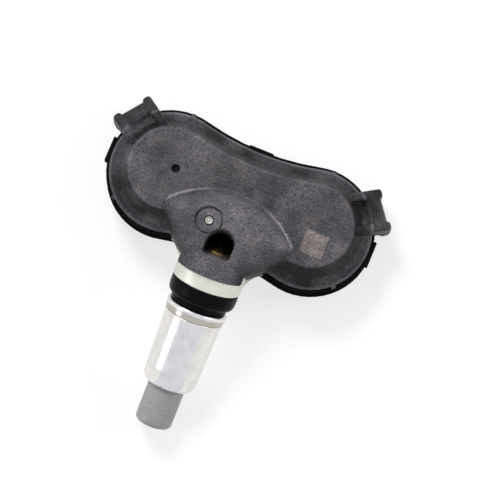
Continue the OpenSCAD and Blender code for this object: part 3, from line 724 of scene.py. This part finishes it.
class SENSOR_OT_valve(bpy.types.Operator):
    """Valve stem with its head, flared foot, spigot and threads"""

    bl_idname = "sensor.valve"
    bl_label = "Valve stem"

    def execute(self, context):
        s = sizes()
        r, long, end = s["head_r"], s["head_length"], STEM_END
        # Beyond the head the spigot turns to brass darkened to near black, painted shade inside the hood's window.
        plain = turned_metal("valve_metal", colours().plain, 0.48, VALVE_OUT, 0.3, shaded_brass_below=-7.4)
        groove = long + 1.75
        nut_zone, cap_zone = np.arange(*NUT_THREAD, 0.16), np.arange(*CAP_THREAD, 0.1)
        profile = np.vstack([
            [
                [1.2, -groove - 1.8], [1.7, -groove - 1.8], [2.8, -groove - 1.0], [2.9, -groove - 0.68],
                [2.2, -groove - 0.66], [2.2, -groove], [2.9, -groove + 0.02], [2.9, -long + 0.02],
                [r - 0.3, -long], [r, -long + 0.3], [r, -0.45], [r - 0.1, -0.16], [r - 0.4, 0],
                [4.0, 0.02], [4.0, 10],
            ],
            np.column_stack([np.full(len(nut_zone), NUT_THREAD_R), nut_zone]), [[3.35, 25.7], [3.35, 26.8]],
            np.column_stack([np.full(len(cap_zone), CAP_THREAD_R), cap_zone]),
            [[3.7, 36.35], [3.3, end], [2.7, end], [2.6, end - 0.1], [2.6, 23.9], [1.2, 23.8]],
        ])
        coarse = thread(1.0, 0.5, *NUT_THREAD, NUT_THREAD_R)
        fine = thread(s["thread_pitch"], 0.45, *CAP_THREAD, CAP_THREAD_R)
        both = lambda q, a, z: fine(coarse(q, a, z), a, z)
        stem = solid("stem", turned(bevelled(profile, 0.03), 144, both), from_valve)
        flat = block([-30, -60, s["face_z"] + s["hood_rise"] - 1.9], [30, 30, 40])
        combine(stem, [solid("flat", flat, from_housing)], "DIFFERENCE")
        reach = np.linspace(0, 1, 24)
        flare_r, grow = long - 1, 12.6 - r
        bend = (flare_r ** 2 + grow ** 2) / (2 * grow)
        back = flare_r * reach
        trumpet = np.column_stack([r + bend - np.sqrt(bend ** 2 - back ** 2), -1 - back])
        foot = solid("foot", turned(np.vstack([[[4, -1.0]], trumpet, [[4, -long]]]), 200), from_valve)
        combine(foot, [solid("part", block([-30, -60, -7.3], [30, 30, -0.1]), from_housing)], "INTERSECT")
        combine(stem, [foot], "UNION")
        finished(stem, "sensor", plain, ("valve_stem",))
        return {"FINISHED"}


class SENSOR_OT_grommet(bpy.types.Operator):
    """Rubber grommet that seals against the wheel rim"""

    bl_idname = "sensor.grommet"
    bl_label = "Grommet"

    def execute(self, context):
        loop = [
            [4.02, 0.03], [8.45, 0.02], [8.72, 0.35], [8.75, 2.0], [8.7, 2.9], [8.55, 3.6], [8.2, 4.12],
            [7.7, 4.38], [7.3, 4.55], [7.12, 4.85], [7.16, 5.1], [7.25, 5.25], [7.24, 5.6], [7.0, 5.88],
            [5.65, 5.9], [5.65, 9.4], [5.3, 9.78], [4.02, 9.8],
        ]
        ring = solid("grommet_ring", turned(softened(loop, 2, 0.2), 180), from_valve)
        rubber = soft_rubber("grommet_rubber", colours().rubber)
        finished(ring, "sensor", rubber, ("rim_grommet",), 60)
        return {"FINISHED"}


class SENSOR_OT_nut(bpy.types.Operator):
    """Rim nut with its spanner flats, and the washer under it"""

    bl_idname = "sensor.nut"
    bl_label = "Rim nut and washer"

    def execute(self, context):
        s = sizes()
        r, long = s["nut_r"], s["nut_length"]
        bright = turned_metal("bright_metal", colours().bright, 0.24, VALVE_OUT, 0.5, collar=(7.3, 8.85))
        washer = [
            [5.85, 0.0], [7.35, 0.0], [7.62, 0.14], [7.85, 0.45], [7.85, 1.1], [7.78, 1.2], [6.5, 1.2],
            [6.5, 2.4], [5.85, 2.4],
        ]
        ring = solid("washer_ring", turned(bevelled(np.add(washer, [0, WASHER_AT]), 0.06), 180), from_valve)
        finished(ring, "washer", bright, ("nut_washer",))
        start = WASHER_AT + 1.25
        hex_from = long - HEX_LENGTH

        def flats(q, angle, z):
            """The radius is held under a hexagon's, reached by a short run-out below the flats."""
            turn = (angle - math.radians(HEX_TURN)) % (math.pi / 3) - math.pi / 6
            side = s["hex_af"] / 2 / np.cos(turn)
            side = side + 3 * np.clip((hex_from - (z - start)) / 0.45, 0, 1)
            return np.where(q > side - 0.05, np.minimum(q, side), q)

        body = np.linspace(1.9, long - 3.4, 24)
        hex_rows = np.linspace(hex_from - 0.5, hex_from + 0.1, 7)
        rows = np.unique(np.concatenate([body, hex_rows]))
        loop = np.vstack([
            [
                [6.65, 0.0], [r + 0.02, 0.0], [r + 0.14, 0.12], [r + 0.15, 1.28], [r + 0.08, 1.4],
                [r - 0.12, 1.46], [r - 0.14, 1.56], [r - 0.02, 1.64],
            ],
            np.column_stack([r - 0.5 * (rows - 1.9) / (long - 5.3), rows]),
            [
                [r - 0.6, long - 2.2], [r - 0.75, long - 1.6], [r - 0.95, long - 1.2],
                [r - 1.2, long - 0.85], [r - 1.55, long - 0.5], [r - 1.9, long - 0.2],
                [s["cap_r"] + 0.45, long], [s["cap_r"] + 0.28, long - 0.04],
                [s["cap_r"] + 0.2, long - 0.2], [s["cap_r"] + 0.2, 12.8], [4.0, 12.7], [4.0, 4.8],
                [5.85, 4.8], [5.85, 1.45], [6.6, 1.4],
            ],
        ])
        nut = solid("nut_body", turned(loop + [0, start], 288, flats), from_valve)
        finished(nut, "nut", bright, ("rim_nut",), 22)
        return {"FINISHED"}


class SENSOR_OT_cap(bpy.types.Operator):
    """Screw cap with fine upright ribs, and its sealing ring"""

    bl_idname = "sensor.cap"
    bl_label = "Cap"

    def execute(self, context):
        s = sizes()
        r, long, ribs = s["cap_r"], s["cap_length"], s["cap_ribs"]
        at = CAP_END - long

        def ribbed(q, angle, z):
            """Cosine ribs on the outer wall, faded out towards both ends."""
            z = z - at
            fade = np.clip((z - 0.5) / 0.4, 0, 1) * np.clip((long - 2.0 - z) / 0.5, 0, 1)
            return np.where(q > r - 0.01, q - 0.09 * (1 - np.cos(ribs * angle)) / 2 * fade, q)

        a = np.linspace(0, math.pi / 2, 10)
        rows = np.linspace(0.5, long - 1.9, 26)
        loop = np.vstack([
            [[r - 0.2, 0], [r - 0.05, 0.07], [r, 0.2]],
            np.column_stack([np.full(len(rows), r), rows]), [[r, long - 1.5]],
            np.column_stack([r - 1.2 + 1.2 * np.cos(a), long - 1.2 + 1.2 * np.sin(a)]),
            [
                [1.6, long], [0.9, long - 0.12], [0.02, long - 0.12], [0.02, long - 1.3],
                [3.9, long - 1.3], [3.9, 0.1],
            ],
        ])
        cap = solid("cap_body", turned(loop + [0, at], ribs * 8, ribbed), from_valve)
        plastic = moulded_plastic("cap_plastic", colours().cap, 0.3, 0.25, 0.12, gloss=0.5)
        finished(cap, "cap", plastic, ("valve_cap",), 40)
        smooth_copy("cap_seal", "cap_ring_seal", soft_rubber("seal_rubber", colours().rubber))
        return {"FINISHED"}


class SENSOR_OT_core(bpy.types.Operator):
    """Valve core: body, seals, pin and coil spring"""

    bl_idname = "sensor.core"
    bl_label = "Valve core"

    def execute(self, context):
        brass = turned_metal("core_brass", colours().brass, 0.28, VALVE_OUT, 0.3)
        rubber = soft_rubber("core_rubber", colours().rubber)
        smooth_copy("core_body", "core_barrel", brass)
        smooth_copy("core_pin", "core_pushpin", brass)
        smooth_copy("core_seal", "core_barrel_seal", rubber)
        smooth_copy("core_cup", "core_pin_cup", rubber)
        lo, hi = spring_reach()
        wire, coils = 0.14, 7
        spring = coil(np.linspace(0, 1, coils * 28), 0.9, lo + wire, hi - wire, coils, wire)
        wound = solid("core_coil", spring, from_valve)
        steel = turned_metal("spring_steel", colours().steel, 0.3, VALVE_OUT, 0.1)
        finished(wound, "sensor", steel, ("core_spring",), 60)
        return {"FINISHED"}


def spring_reach():
    """Where the core's spring starts and ends along the valve, in millimetres."""
    along = mesh_points(NODES["core_spring"].data) @ VALVE_OUT / MM
    return float(along.min()), float(along.max())


def coil(t, r, low, high, turns, wire, sides=10):
    """A coil spring: a small circle of the wire's radius carried along a helix, standing on the helix's own
    radius and height directions, closed by a face at each end."""
    a = 2 * math.pi * turns * t
    b = np.arange(sides) * 2 * math.pi / sides
    rr = r + wire * np.cos(b)[None, :]
    zz = low + (high - low) * t[:, None] + wire * np.sin(b)[None, :]
    points = np.stack([rr * np.cos(a)[:, None], rr * np.sin(a)[:, None], zz], axis=-1).reshape(-1, 3)
    ends = np.arange(sides)[None, ::-1], (np.arange(sides) + (len(t) - 1) * sides)[None, :]
    return (points, grid(len(t), sides)) + ends


class SENSOR_OT_contacts(bpy.types.Operator):
    """Contact pin in the round recess, and the spring clip that holds the valve"""

    bl_idname = "sensor.contacts"
    bl_label = "Contact pin and clip"

    def execute(self, context):
        s = sizes()
        top = s["face_z"] + s["hood_rise"] - 0.55
        profile = [
            [0.98, -0.4], [0.99, top - 0.1], [0.93, top - 0.02], [0.85, top], [0.76, top - 0.05],
            [0.7, top - 0.26], [0.36, top - 0.3], [0.33, top - 0.14], [0.24, top - 0.08],
        ]
        centre = [s["recess_x"], -s["seat_back"] + RECESS_BACK, 0]
        pin = solid("pin", spun(profile, 96), lambda p: from_housing(p + centre))
        # The pin's own colour: half the nut sides' warm tone.
        dull = turned_metal("pin_metal", tuple(0.5 * c for c in colours().warm), 0.45, (0, 0, 1), 0.1)
        finished(pin, "sensor", dull, ("contact_pin",))
        brass = turned_metal("clip_brass", colours().brass, 0.36, VALVE_OUT, 0.2)
        smooth_copy("stem_clip", "spring_clip", brass)
        return {"FINISHED"}


class SENSOR_OT_electronics(bpy.types.Operator):
    """Finishes of the pieces inside the housing"""

    bl_idname = "sensor.electronics"
    bl_label = "Inside pieces"

    def execute(self, context):
        c = colours()
        steel = turned_metal("strip_steel", c.steel, 0.32, (0, 0, 1), 0.2)
        finish = {
            "circuit_board": circuit_board("board_finish"),
            "battery_cell": turned_metal("cell_steel", c.steel, 0.25, (0, 0, 1), 0.25),
            "battery_top_strip": steel, "battery_bottom_strip": steel, "crystal": steel,
            "antenna_strip": turned_metal("antenna_brass", c.brass, 0.35, (1, 0, 0), 0.2),
            "pressure_sensor": moulded_plastic("package_black", (0.02, 0.02, 0.022), 0.45, 0.3, 0.1),
            "control_chip": moulded_plastic("chip_black", (0.015, 0.015, 0.017), 0.4, 0.3, 0.1),
            "coil_core": moulded_plastic("ferrite", (0.03, 0.03, 0.034), 0.7, 0.8, 0.4),
            "capacitors": moulded_plastic("fired_ceramic", (0.42, 0.31, 0.2), 0.5, 0.4, 0.3),
            "port_seal": soft_rubber("port_silicone", c.silicone),
            "cover_gasket": soft_rubber("gasket_rubber", (0.035, 0.04, 0.035)),
            "coil_winding": wound_copper("winding_copper"),
        }
        for node, material in finish.items():
            NODES[node].data.materials.clear()
            NODES[node].data.materials.append(material)
        return {"FINISHED"}


# ---- finishes ----


def by_node(operation, swapped=False):
    """A method that does an operation with a Math node, its two values swapped if asked."""
    def method(self, *other):
        return self.finish.math(operation, *((*other, self) if swapped else (self, *other)))
    return method


class Signal:
    """A number or colour on its way through a material. Arithmetic on it adds the Math nodes for it."""

    def __init__(self, finish, socket):
        self.finish, self.socket = finish, socket

    __add__ = __radd__ = by_node("ADD")
    __mul__ = __rmul__ = by_node("MULTIPLY")
    __sub__, __rsub__ = by_node("SUBTRACT"), by_node("SUBTRACT", swapped=True)
    __pow__, __abs__ = by_node("POWER"), by_node("ABSOLUTE")


class Finish:
    """A material, or the world, being put together from nodes. Places in it are in millimetres."""

    def __init__(self, name, tree=None):
        if tree is None:
            self.material = bpy.data.materials.new(name)
            self.material.use_nodes = True
            tree = self.material.node_tree
        self.tree = tree
        tree.nodes.clear()

    def node(self, kind, settings=None, inputs=None, output=0):
        """Adds a node: its settings come first, then what its sockets hold or what is linked to them."""
        made = self.tree.nodes.new(kind)
        for key, value in (settings or {}).items():
            setattr(made, key, value)
        for key, value in (inputs or {}).items():
            if isinstance(value, Signal):
                self.tree.links.new(value.socket, made.inputs[key])
            elif getattr(made.inputs[key], "type", "") == "RGBA" and len(value) == 3:
                made.inputs[key].default_value = (*value, 1.0)
            else:
                made.inputs[key].default_value = value
        return Signal(self, made.outputs[output]) if made.outputs else made

    def math(self, operation, *values):
        return self.node("ShaderNodeMath", {"operation": operation}, dict(enumerate(values)))

    def vector(self, operation, *values, output=0):
        return self.node("ShaderNodeVectorMath", {"operation": operation}, dict(enumerate(values)), output)

    def place(self, scale=1.0, stretch=(1.0, 1.0, 1.0)):
        """The place on the object in millimetres, times a scale."""
        metres = self.node("ShaderNodeTexCoord", output="Object")
        return self.vector("MULTIPLY", metres, tuple(scale * s / MM for s in stretch))

    def along(self, axis):
        """How far along a direction a place lies, in millimetres."""
        return self.vector("DOT_PRODUCT", self.place(), tuple(float(a) for a in axis), output="Value")

    def noise(self, scale, detail=2.0, stretch=(1.0, 1.0, 1.0)):
        """Noise with about this many waves to the millimetre."""
        inputs = {"Vector": self.place(scale, stretch), "Scale": 1.0, "Detail": detail}
        return self.node("ShaderNodeTexNoise", None, inputs)

    def lines(self, value, scale, detail=3.0):
        """Noise along one number: bands as a lathe leaves them."""
        inputs = {"W": value, "Scale": scale, "Detail": detail}
        return self.node("ShaderNodeTexNoise", {"noise_dimensions": "1D"}, inputs)

    def ramp(self, value, low, high):
        """0 below one number, 1 above the other, and smooth between them."""
        inputs = {"Value": value, "From Min": low, "From Max": high}
        return self.node("ShaderNodeMapRange", {"interpolation_type": "SMOOTHSTEP"}, inputs)

    def fall(self, value, low, high):
        """1 below one number, 0 above the other, and smooth between them."""
        return 1.0 - self.ramp(value, low, high)

    def band(self, value, start, full, fading, end):
        """0 outside two numbers and 1 well inside them: up from start to full and down from fading to end."""
        return self.ramp(value, start, full) * self.fall(value, fading, end)

    def facing(self, way):
        """How squarely the surface looks along X, Y or Z, forwards or back."""
        normal = self.node("ShaderNodeNewGeometry", output="Normal")
        return abs(self.node("ShaderNodeSeparateXYZ", None, {"Vector": normal}, way))

    def tint(self, colour_, shade):
        """A colour made lighter or darker by a number."""
        return self.node("ShaderNodeVectorMath", {"operation": "SCALE"}, {0: colour_, "Scale": shade})

    def mix(self, factor, a, b):
        """One colour turning into another."""
        return self.node("ShaderNodeMix", {"data_type": "RGBA"}, {0: factor, 6: a, 7: b}, 2)

    def rounded(self, radius):
        """The normal with edges rounded at a radius in millimetres."""
        return self.node("ShaderNodeBevel", {"samples": 4}, {"Radius": radius * MM})

    def edges(self, normal):
        """1 on an edge and 0 away from it, from how far the rounded normal leans."""
        flat = self.node("ShaderNodeNewGeometry", output="Normal")
        return self.ramp(1.0 - self.vector("DOT_PRODUCT", normal, flat, output="Value"), 0.01, 0.16)

    def bump(self, height, depth, normal):
        """The normal over a relief whose depth is in millimetres."""
        inputs = {"Strength": 1.0, "Distance": depth * MM, "Height": height, "Normal": normal}
        return self.node("ShaderNodeBump", None, inputs)

    def surface(self, **sockets):
        """The shader with its sockets, named with _ for a space, and the material's output."""
        inputs = {key.replace("_", " "): value for key, value in sockets.items()}
        shader = self.node("ShaderNodeBsdfPrincipled", None, inputs)
        self.node("ShaderNodeOutputMaterial", None, {"Surface": shader})
        return self.material


def moulded_plastic(name, colour_, roughness, grain, mottle, edge=0.6, gloss=0.3, relief=None, patch=None):
    """Moulded plastic: an eroded grain whose lighter specks are painted glints, a cloudy tone that turns a
    little warmer where it is lighter, and lighter edges that are painted highlights. relief may paint light
    and shade by the form into the colour, and patch may lighten one place."""
    f = Finish(name)
    fine, coarse, cloud, broad = f.noise(1.9, 2.0), f.noise(1.1, 2.0), f.noise(0.22, 3.0), f.noise(0.08, 2.0)
    # lighter specks painted into the colour as glints on the grain
    specks = f.ramp(f.noise(2.1, 1.0), 0.52, 0.68)
    pits = f.ramp(f.noise(1.7, 1.0), 0.46, 0.32)
    soft = f.rounded(0.3)
    # the edge term is a painted highlight along every edge
    shade = 1.0 + mottle * (1.6 * (cloud - 0.5) + 2.6 * (broad - 0.5)) + edge * f.edges(soft)
    # relief adds painted light and shade by the form
    if relief is not None:
        shade = shade + relief(f)
    shade = f.math("MAXIMUM", shade, 0.22)
    shade = shade * (1.0 + 1.3 * grain * (fine - 0.5) + 0.5 * grain * specks - 0.35 * grain * pits)
    own = tuple(colour_)
    warm = tuple(c * w for c, w in zip(own, (1.12, 1.07, 1.0)))
    base = f.mix(f.ramp(cloud, 0.4, 0.7) * mottle, own, warm)
    if patch is not None:
        base = f.mix(patch(f), base, tuple(colours().patch))
    return f.surface(
        Base_Color=f.tint(base, shade), Specular_IOR_Level=gloss,
        Roughness=roughness + 0.22 * grain * (fine - 0.5) + 0.1 * (cloud - 0.5),
        Normal=f.bump(fine * 0.6 + coarse * 0.4, 0.07 * grain, soft),
    )


def housing_way(f, index, start=0.0):
    """The housing's own x, y or z of a place in a material, in millimetres from a start."""
    origin, *ends = from_housing(np.vstack([np.zeros(3), np.eye(3)])) / MM
    way = ends[index] - origin
    return f.along(way) - float(origin @ way) - start


def lobe_radius(f, x, y):
    """lobe_distance in a material, from the housing's x and y."""
    (centre, reach), lobe_x = flank_arc(), sizes()["lobe_x"]
    ax, ay = abs(x), abs(y)
    to_lobe = ((ax - lobe_x) ** 2 + y * y) ** 0.5
    to_flank = (ax * ax + (centre - ay) ** 2) ** 0.5
    flank = f.math("LESS_THAN", ax * centre, lobe_x * (centre - ay))
    return to_lobe + flank * (reach - to_flank - to_lobe)


def cover_painted_light(f):
    """Painted light and shade on the cover, by its form. The shell gets painted shade, deep on its wall and a
    little lighter on its shoulder, a painted highlight on its outer edge and a faint one round its flat face;
    the latches beyond its edge are a little darker. The hood is painted lighter on top and darker towards its
    foot, with a painted highlight line where its back edge leaves the face, most of all towards the two ends."""
    s = sizes()
    x, y, z = (housing_way(f, index) for index in range(3))
    ahead = y + s["seat_back"]
    out = lobe_radius(f, x, y) - s["cover_r"]
    from_arc = (x * x + (ahead - ARC_BACK) ** 2) ** 0.5 - s["hood_arc_r"]
    half = s["head_r"] + LIP + f.math("MAXIMUM", ahead - SPREAD_BACK, 0.0)
    hood = f.fall(from_arc, -0.2, 0.2) * f.fall(abs(x) - half, -0.3, 0.3)
    # painted shade on the wall and shoulder, painted highlights on the rim and round the flat face
    wall = f.band(out, -4.85, -4.35, -2.8, -2.2)
    shoulder = f.ramp(out, -2.8, -2.2)
    rim = f.band(out, -0.8, -0.4, 0.05, 0.3)
    crown = f.band(out, -5.7, -5.2, -5.0, -4.7)
    shell = 0.2 * crown - 0.72 * wall - 0.44 * shoulder + 0.75 * rim
    # painted highlight along the hood's back edge
    line = f.fall(abs(from_arc), 0.15, 0.55) * f.fall(abs(x), 16.3, 17.2) * f.ramp(ahead, 9.0, 11.0)
    # painted shade towards the hood's foot, painted light on its top
    top = 0.26 - f.fall(z, 3.0, 8.2)
    # the latches beyond the cover's edge are made a little darker
    shell = shell - 0.12 * f.ramp(out, 0.1, 0.4)
    return shell + hood * (top - shell) + line * (0.4 + 1.5 * f.ramp(abs(x), 5.0, 13.0))


def square_patch(f):
    """1 inside a soft-edged square on the flat face of the right lobe, 0 outside it: the face is paler
    there."""
    u, v = (abs(housing_way(f, index, PATCH_AT[index])) for index in (0, 1))
    return f.fall(f.math("MAXIMUM", u, v), 2.7, 3.2) * (0.6 + 0.4 * (f.noise(0.6, 2.0) - 0.5))


def turned_metal(name, colour_, roughness, axis, streak, shaded_brass_below=None, collar=None):
    """Turned metal: fine bands across its axis, hair-thin scratches, a cloudy film and slightly lighter
    edges, a painted highlight. Below a place on the axis, in millimetres, it can change to brass darkened to
    near black, painted shade in the hood's window; between two places it can be a darker collar, with warmer
    sides beyond it where the surface faces across, a painted reflection."""
    f = Finish(name)
    along = f.along(axis)
    bands, film, scratch = f.lines(along, 5.0), f.noise(0.3, 3.0), f.noise(2.2, 3.0, (3.0, 0.4, 0.4))
    soft = f.rounded(0.12)
    shade = 0.93 + 0.3 * (film - 0.5) + 0.16 * (scratch - 0.5) + 0.22 * streak * (bands - 0.5)
    # lighter edges: a painted highlight
    shade = shade + 0.08 * f.edges(soft)
    base = tuple(colour_)
    if shaded_brass_below is not None:
        # brass darkened to near black: painted shade on the spigot inside the hood's window
        brass = f.tint(tuple(colours().brass), 0.05)
        base = f.mix(f.ramp(along, shaded_brass_below - 0.12, shaded_brass_below + 0.12), brass, base)
    if collar is not None:
        # warmer where the surface faces across: a painted reflection on the nut's sides
        base = f.mix(f.ramp(f.facing("X"), 0.35, 0.75), base, tuple(colours().warm))
        inside = f.band(along, collar[0] - 0.1, collar[0] + 0.1, collar[1] - 0.1, collar[1] + 0.1)
        base = f.mix(inside, base, tuple(colours().collar))
    return f.surface(
        Base_Color=f.tint(base, shade), Metallic=1.0,
        Roughness=roughness + 0.16 * streak * (bands - 0.5) + 0.14 * (film - 0.5) + 0.06 * (scratch - 0.5),
        Normal=f.bump(bands * streak + scratch * 0.2, 0.006, soft),
    )


def soft_rubber(name, colour_):
    """Moulded rubber: dull, with a faint bloom, fine flow rings, a soft relief and lighter edges, a painted
    highlight.
    """
    f = Finish(name)
    fine, cloud = f.noise(2.4, 2.0), f.noise(0.35, 3.0)
    soft = f.rounded(0.2)
    bloom = f.ramp(cloud, 0.45, 0.75)
    # the edge term is a painted highlight
    shade = 0.9 + 0.4 * bloom + 0.3 * (fine - 0.5) + 0.6 * f.edges(soft)
    return f.surface(
        Base_Color=f.tint(tuple(colour_), shade), Specular_IOR_Level=0.06,
        Roughness=0.26 + 0.16 * bloom + 0.1 * (fine - 0.5),
        Normal=f.bump(fine * 0.5 + f.lines(f.along(VALVE_OUT), 3.0) * 0.5, 0.02, soft),
    )


def circuit_board(name):
    """Circuit board: green lacquer over paler tracks, and the bare glass fibre on its cut edge."""
    f = Finish(name)
    tracks = f.node("ShaderNodeTexBrick", {"offset": 0.37}, {
        "Vector": f.place(), "Color1": (0.012, 0.095, 0.04), "Color2": (0.016, 0.12, 0.05),
        "Mortar": (0.05, 0.25, 0.1),
        "Scale": 1.0, "Mortar Size": 0.07, "Brick Width": 3.1, "Row Height": 0.9,
    })
    lean = f.facing("Z")
    fibre = f.tint((0.42, 0.44, 0.22), 0.8 + 0.4 * f.noise(1.2, 2.0, (0.2, 0.2, 4.0)))
    flat = f.ramp(lean, 0.4, 0.7)
    return f.surface(
        Base_Color=f.mix(flat, fibre, tracks), Roughness=0.62 - 0.34 * flat,
        Normal=f.bump(f.noise(0.8, 2.0), 0.01, f.rounded(0.1)),
    )


def wound_copper(name):
    """Enamelled wire wound in layers: round ridges across the winding's axis, with painted shade in the grooves
    between the turns.
    """
    f = Finish(name)
    along = f.along((0, 0, 1))
    ridge = abs(f.math("SINE", along * (math.pi / 0.18)))
    # darker between the turns: painted shade in the grooves
    shade = 0.55 + 0.5 * ridge + 0.2 * (f.noise(0.8) - 0.5)
    return f.surface(
        Base_Color=f.tint((0.62, 0.22, 0.08), shade), Metallic=1.0, Roughness=0.24 + 0.12 * f.noise(1.5),
        Normal=f.bump(ridge, 0.04, f.rounded(0.05)), Coat_Weight=0.6,
    )


# ---- stage ----


def seen_directly(f):
    """1 for what the camera sees, also in metal and through glass, and 0 for the light on the object."""
    rays = ("Is Camera Ray", "Is Glossy Ray", "Is Transmission Ray")
    camera, glossy, through = (f.node("ShaderNodeLightPath", output=ray) for ray in rays)
    return f.math("MAXIMUM", f.math("MAXIMUM", camera, glossy), through)


def floor_finish(name):
    """Pale floor that reads white, with a faint cloudiness, and keeps the shadow."""
    f = Finish(name)
    tone = f.tint(tuple(colours().floor), 0.99 + 0.02 * f.noise(0.02))
    lit = f.node("ShaderNodeBsdfDiffuse", None, {"Color": tone})
    dim = f.tint(tuple(colours().floor), 0.62 + 0.01 * f.noise(0.03))
    seen = f.node("ShaderNodeAddShader", None, {
        0: f.node("ShaderNodeBsdfDiffuse", None, {"Color": dim}),
        1: f.node("ShaderNodeEmission", None, {"Color": (1.0, 1.0, 1.0), "Strength": 0.66}),
    })
    surface = f.node("ShaderNodeMixShader", None, {0: seen_directly(f), 1: lit, 2: seen})
    f.node("ShaderNodeOutputMaterial", None, {"Surface": surface})
    return f.material


def photo_axes():
    """The picture's right and up directions and the direction to the camera, in the row's frame."""
    stage = bpy.context.scene.sensor_stage
    p, y = stage.pitch, stage.yaw
    towards = [math.sin(y), -math.sin(p) * math.cos(y), math.cos(p) * math.cos(y)]
    turned_ = (from_housing([towards]) - from_housing([[0, 0, 0]]))[0] / MM
    across = ACROSS - (ACROSS @ turned_) * turned_
    across = across / np.linalg.norm(across)
    up = np.cross(turned_, across)
    c, n = math.cos(stage.roll), math.sin(stage.roll)
    return c * across + n * up, -n * across + c * up, turned_


class SENSOR_OT_stage(bpy.types.Operator):
    """Floor, camera, lamps and world"""

    bl_idname = "sensor.stage"
    bl_label = "Stage"

    def execute(self, context):
        scene = context.scene
        stage = scene.sensor_stage
        right, up, out = photo_axes()
        height, to_right, to_top = 0.7, -0.125, -9.875
        target = from_housing([[0, 0, height]])[0] + (to_right * right + to_top * up) * MM
        camera = bpy.data.cameras.new("photo_camera")
        camera.sensor_width = 36.0
        camera.lens = camera.sensor_width * stage.distance / stage.field
        camera.clip_start = 0.01
        view = bpy.data.objects.new("photo_camera", camera)
        view.matrix_world = self.facing(target + stage.distance * out, right, up, out)
        scene.collection.objects.link(view)
        scene.camera = view

        for name, (offset, size, power) in LAMPS.items():
            self.lamp(name, target, target + offset @ np.array([right, up, out]), size, power)

        low = CAD_BOX[0][2]
        n, half = 24, 1.6
        side = np.linspace(-half, half, n)
        x, y = np.meshgrid(side, side, indexing="ij")
        points = np.column_stack([x.ravel(), y.ravel(), np.full(n * n, low)])
        floor = new_object("floor", new_mesh("floor", points, grid(n, n, round_columns=False)))
        floor.data.materials.append(floor_finish("floor_white"))

        world = scene.world or bpy.data.worlds.new("studio")
        scene.world = world
        world.use_nodes = True
        f = Finish("studio", world.node_tree)
        dim = f.node("ShaderNodeBackground", None, {"Color": (1.0, 1.0, 1.0), "Strength": 0.28})
        white = f.node("ShaderNodeBackground", None, {"Color": (1.0, 1.0, 1.0), "Strength": 1.0})
        shown = f.node("ShaderNodeMixShader", None, {0: seen_directly(f), 1: dim, 2: white})
        f.node("ShaderNodeOutputWorld", None, {"Surface": shown})
        scene.view_settings.view_transform = "Standard"
        return {"FINISHED"}

    @staticmethod
    def facing(place, right, up, out):
        """A matrix at a place whose back looks along out."""
        turn = Matrix([list(right), list(up), list(out)]).transposed().to_4x4()
        return Matrix.Translation(Vector(place)) @ turn

    @staticmethod
    def lamp(name, target, place, size, power):
        """A soft square lamp at a place, turned to the target."""
        light = bpy.data.lights.new(name, "AREA")
        light.size, light.energy = size, power
        lamp = bpy.data.objects.new(name, light)
        lamp.location = Vector(place)
        lamp.rotation_euler = (Vector(place) - Vector(target)).to_track_quat("Z", "Y").to_euler()
        bpy.context.scene.collection.objects.link(lamp)


STEPS = (
    SENSOR_OT_cover, SENSOR_OT_tray, SENSOR_OT_valve, SENSOR_OT_grommet, SENSOR_OT_nut, SENSOR_OT_cap,
    SENSOR_OT_core,
    SENSOR_OT_contacts, SENSOR_OT_electronics, SENSOR_OT_stage,
)

GROUPS = {"sensor_sizes": SensorSizes, "sensor_colours": SensorColours, "sensor_stage": SensorStage}


class SENSOR_PT_panel(bpy.types.Panel):
    """Sizes, colours and building steps of the tyre pressure sensor"""

    bl_idname = "SENSOR_PT_panel"
    bl_label = "Tyre pressure sensor"
    bl_space_type = "VIEW_3D"
    bl_region_type = "UI"
    bl_category = "Sensor"

    def draw(self, context):
        column = self.layout.column(align=True)
        for step in STEPS:
            column.operator(step.bl_idname)
        for group, kind in GROUPS.items():
            box = self.layout.box().column(align=True)
            for name in kind.__annotations__:
                box.prop(getattr(context.scene, group), name)


def register():
    for kind in (*GROUPS.values(), *STEPS, SENSOR_PT_panel):
        bpy.utils.register_class(kind)
    for name, kind in GROUPS.items():
        setattr(bpy.types.Scene, name, PointerProperty(type=kind))


def unregister():
    for name in GROUPS:
        delattr(bpy.types.Scene, name)
    for kind in (SENSOR_PT_panel, *reversed(STEPS), *GROUPS.values()):
        bpy.utils.unregister_class(kind)


def main():
    """Builds every piece in order."""
    register()
    for step in STEPS:
        getattr(bpy.ops.sensor, step.bl_idname.split(".")[1])()


if __name__ == "__main__":
    main()
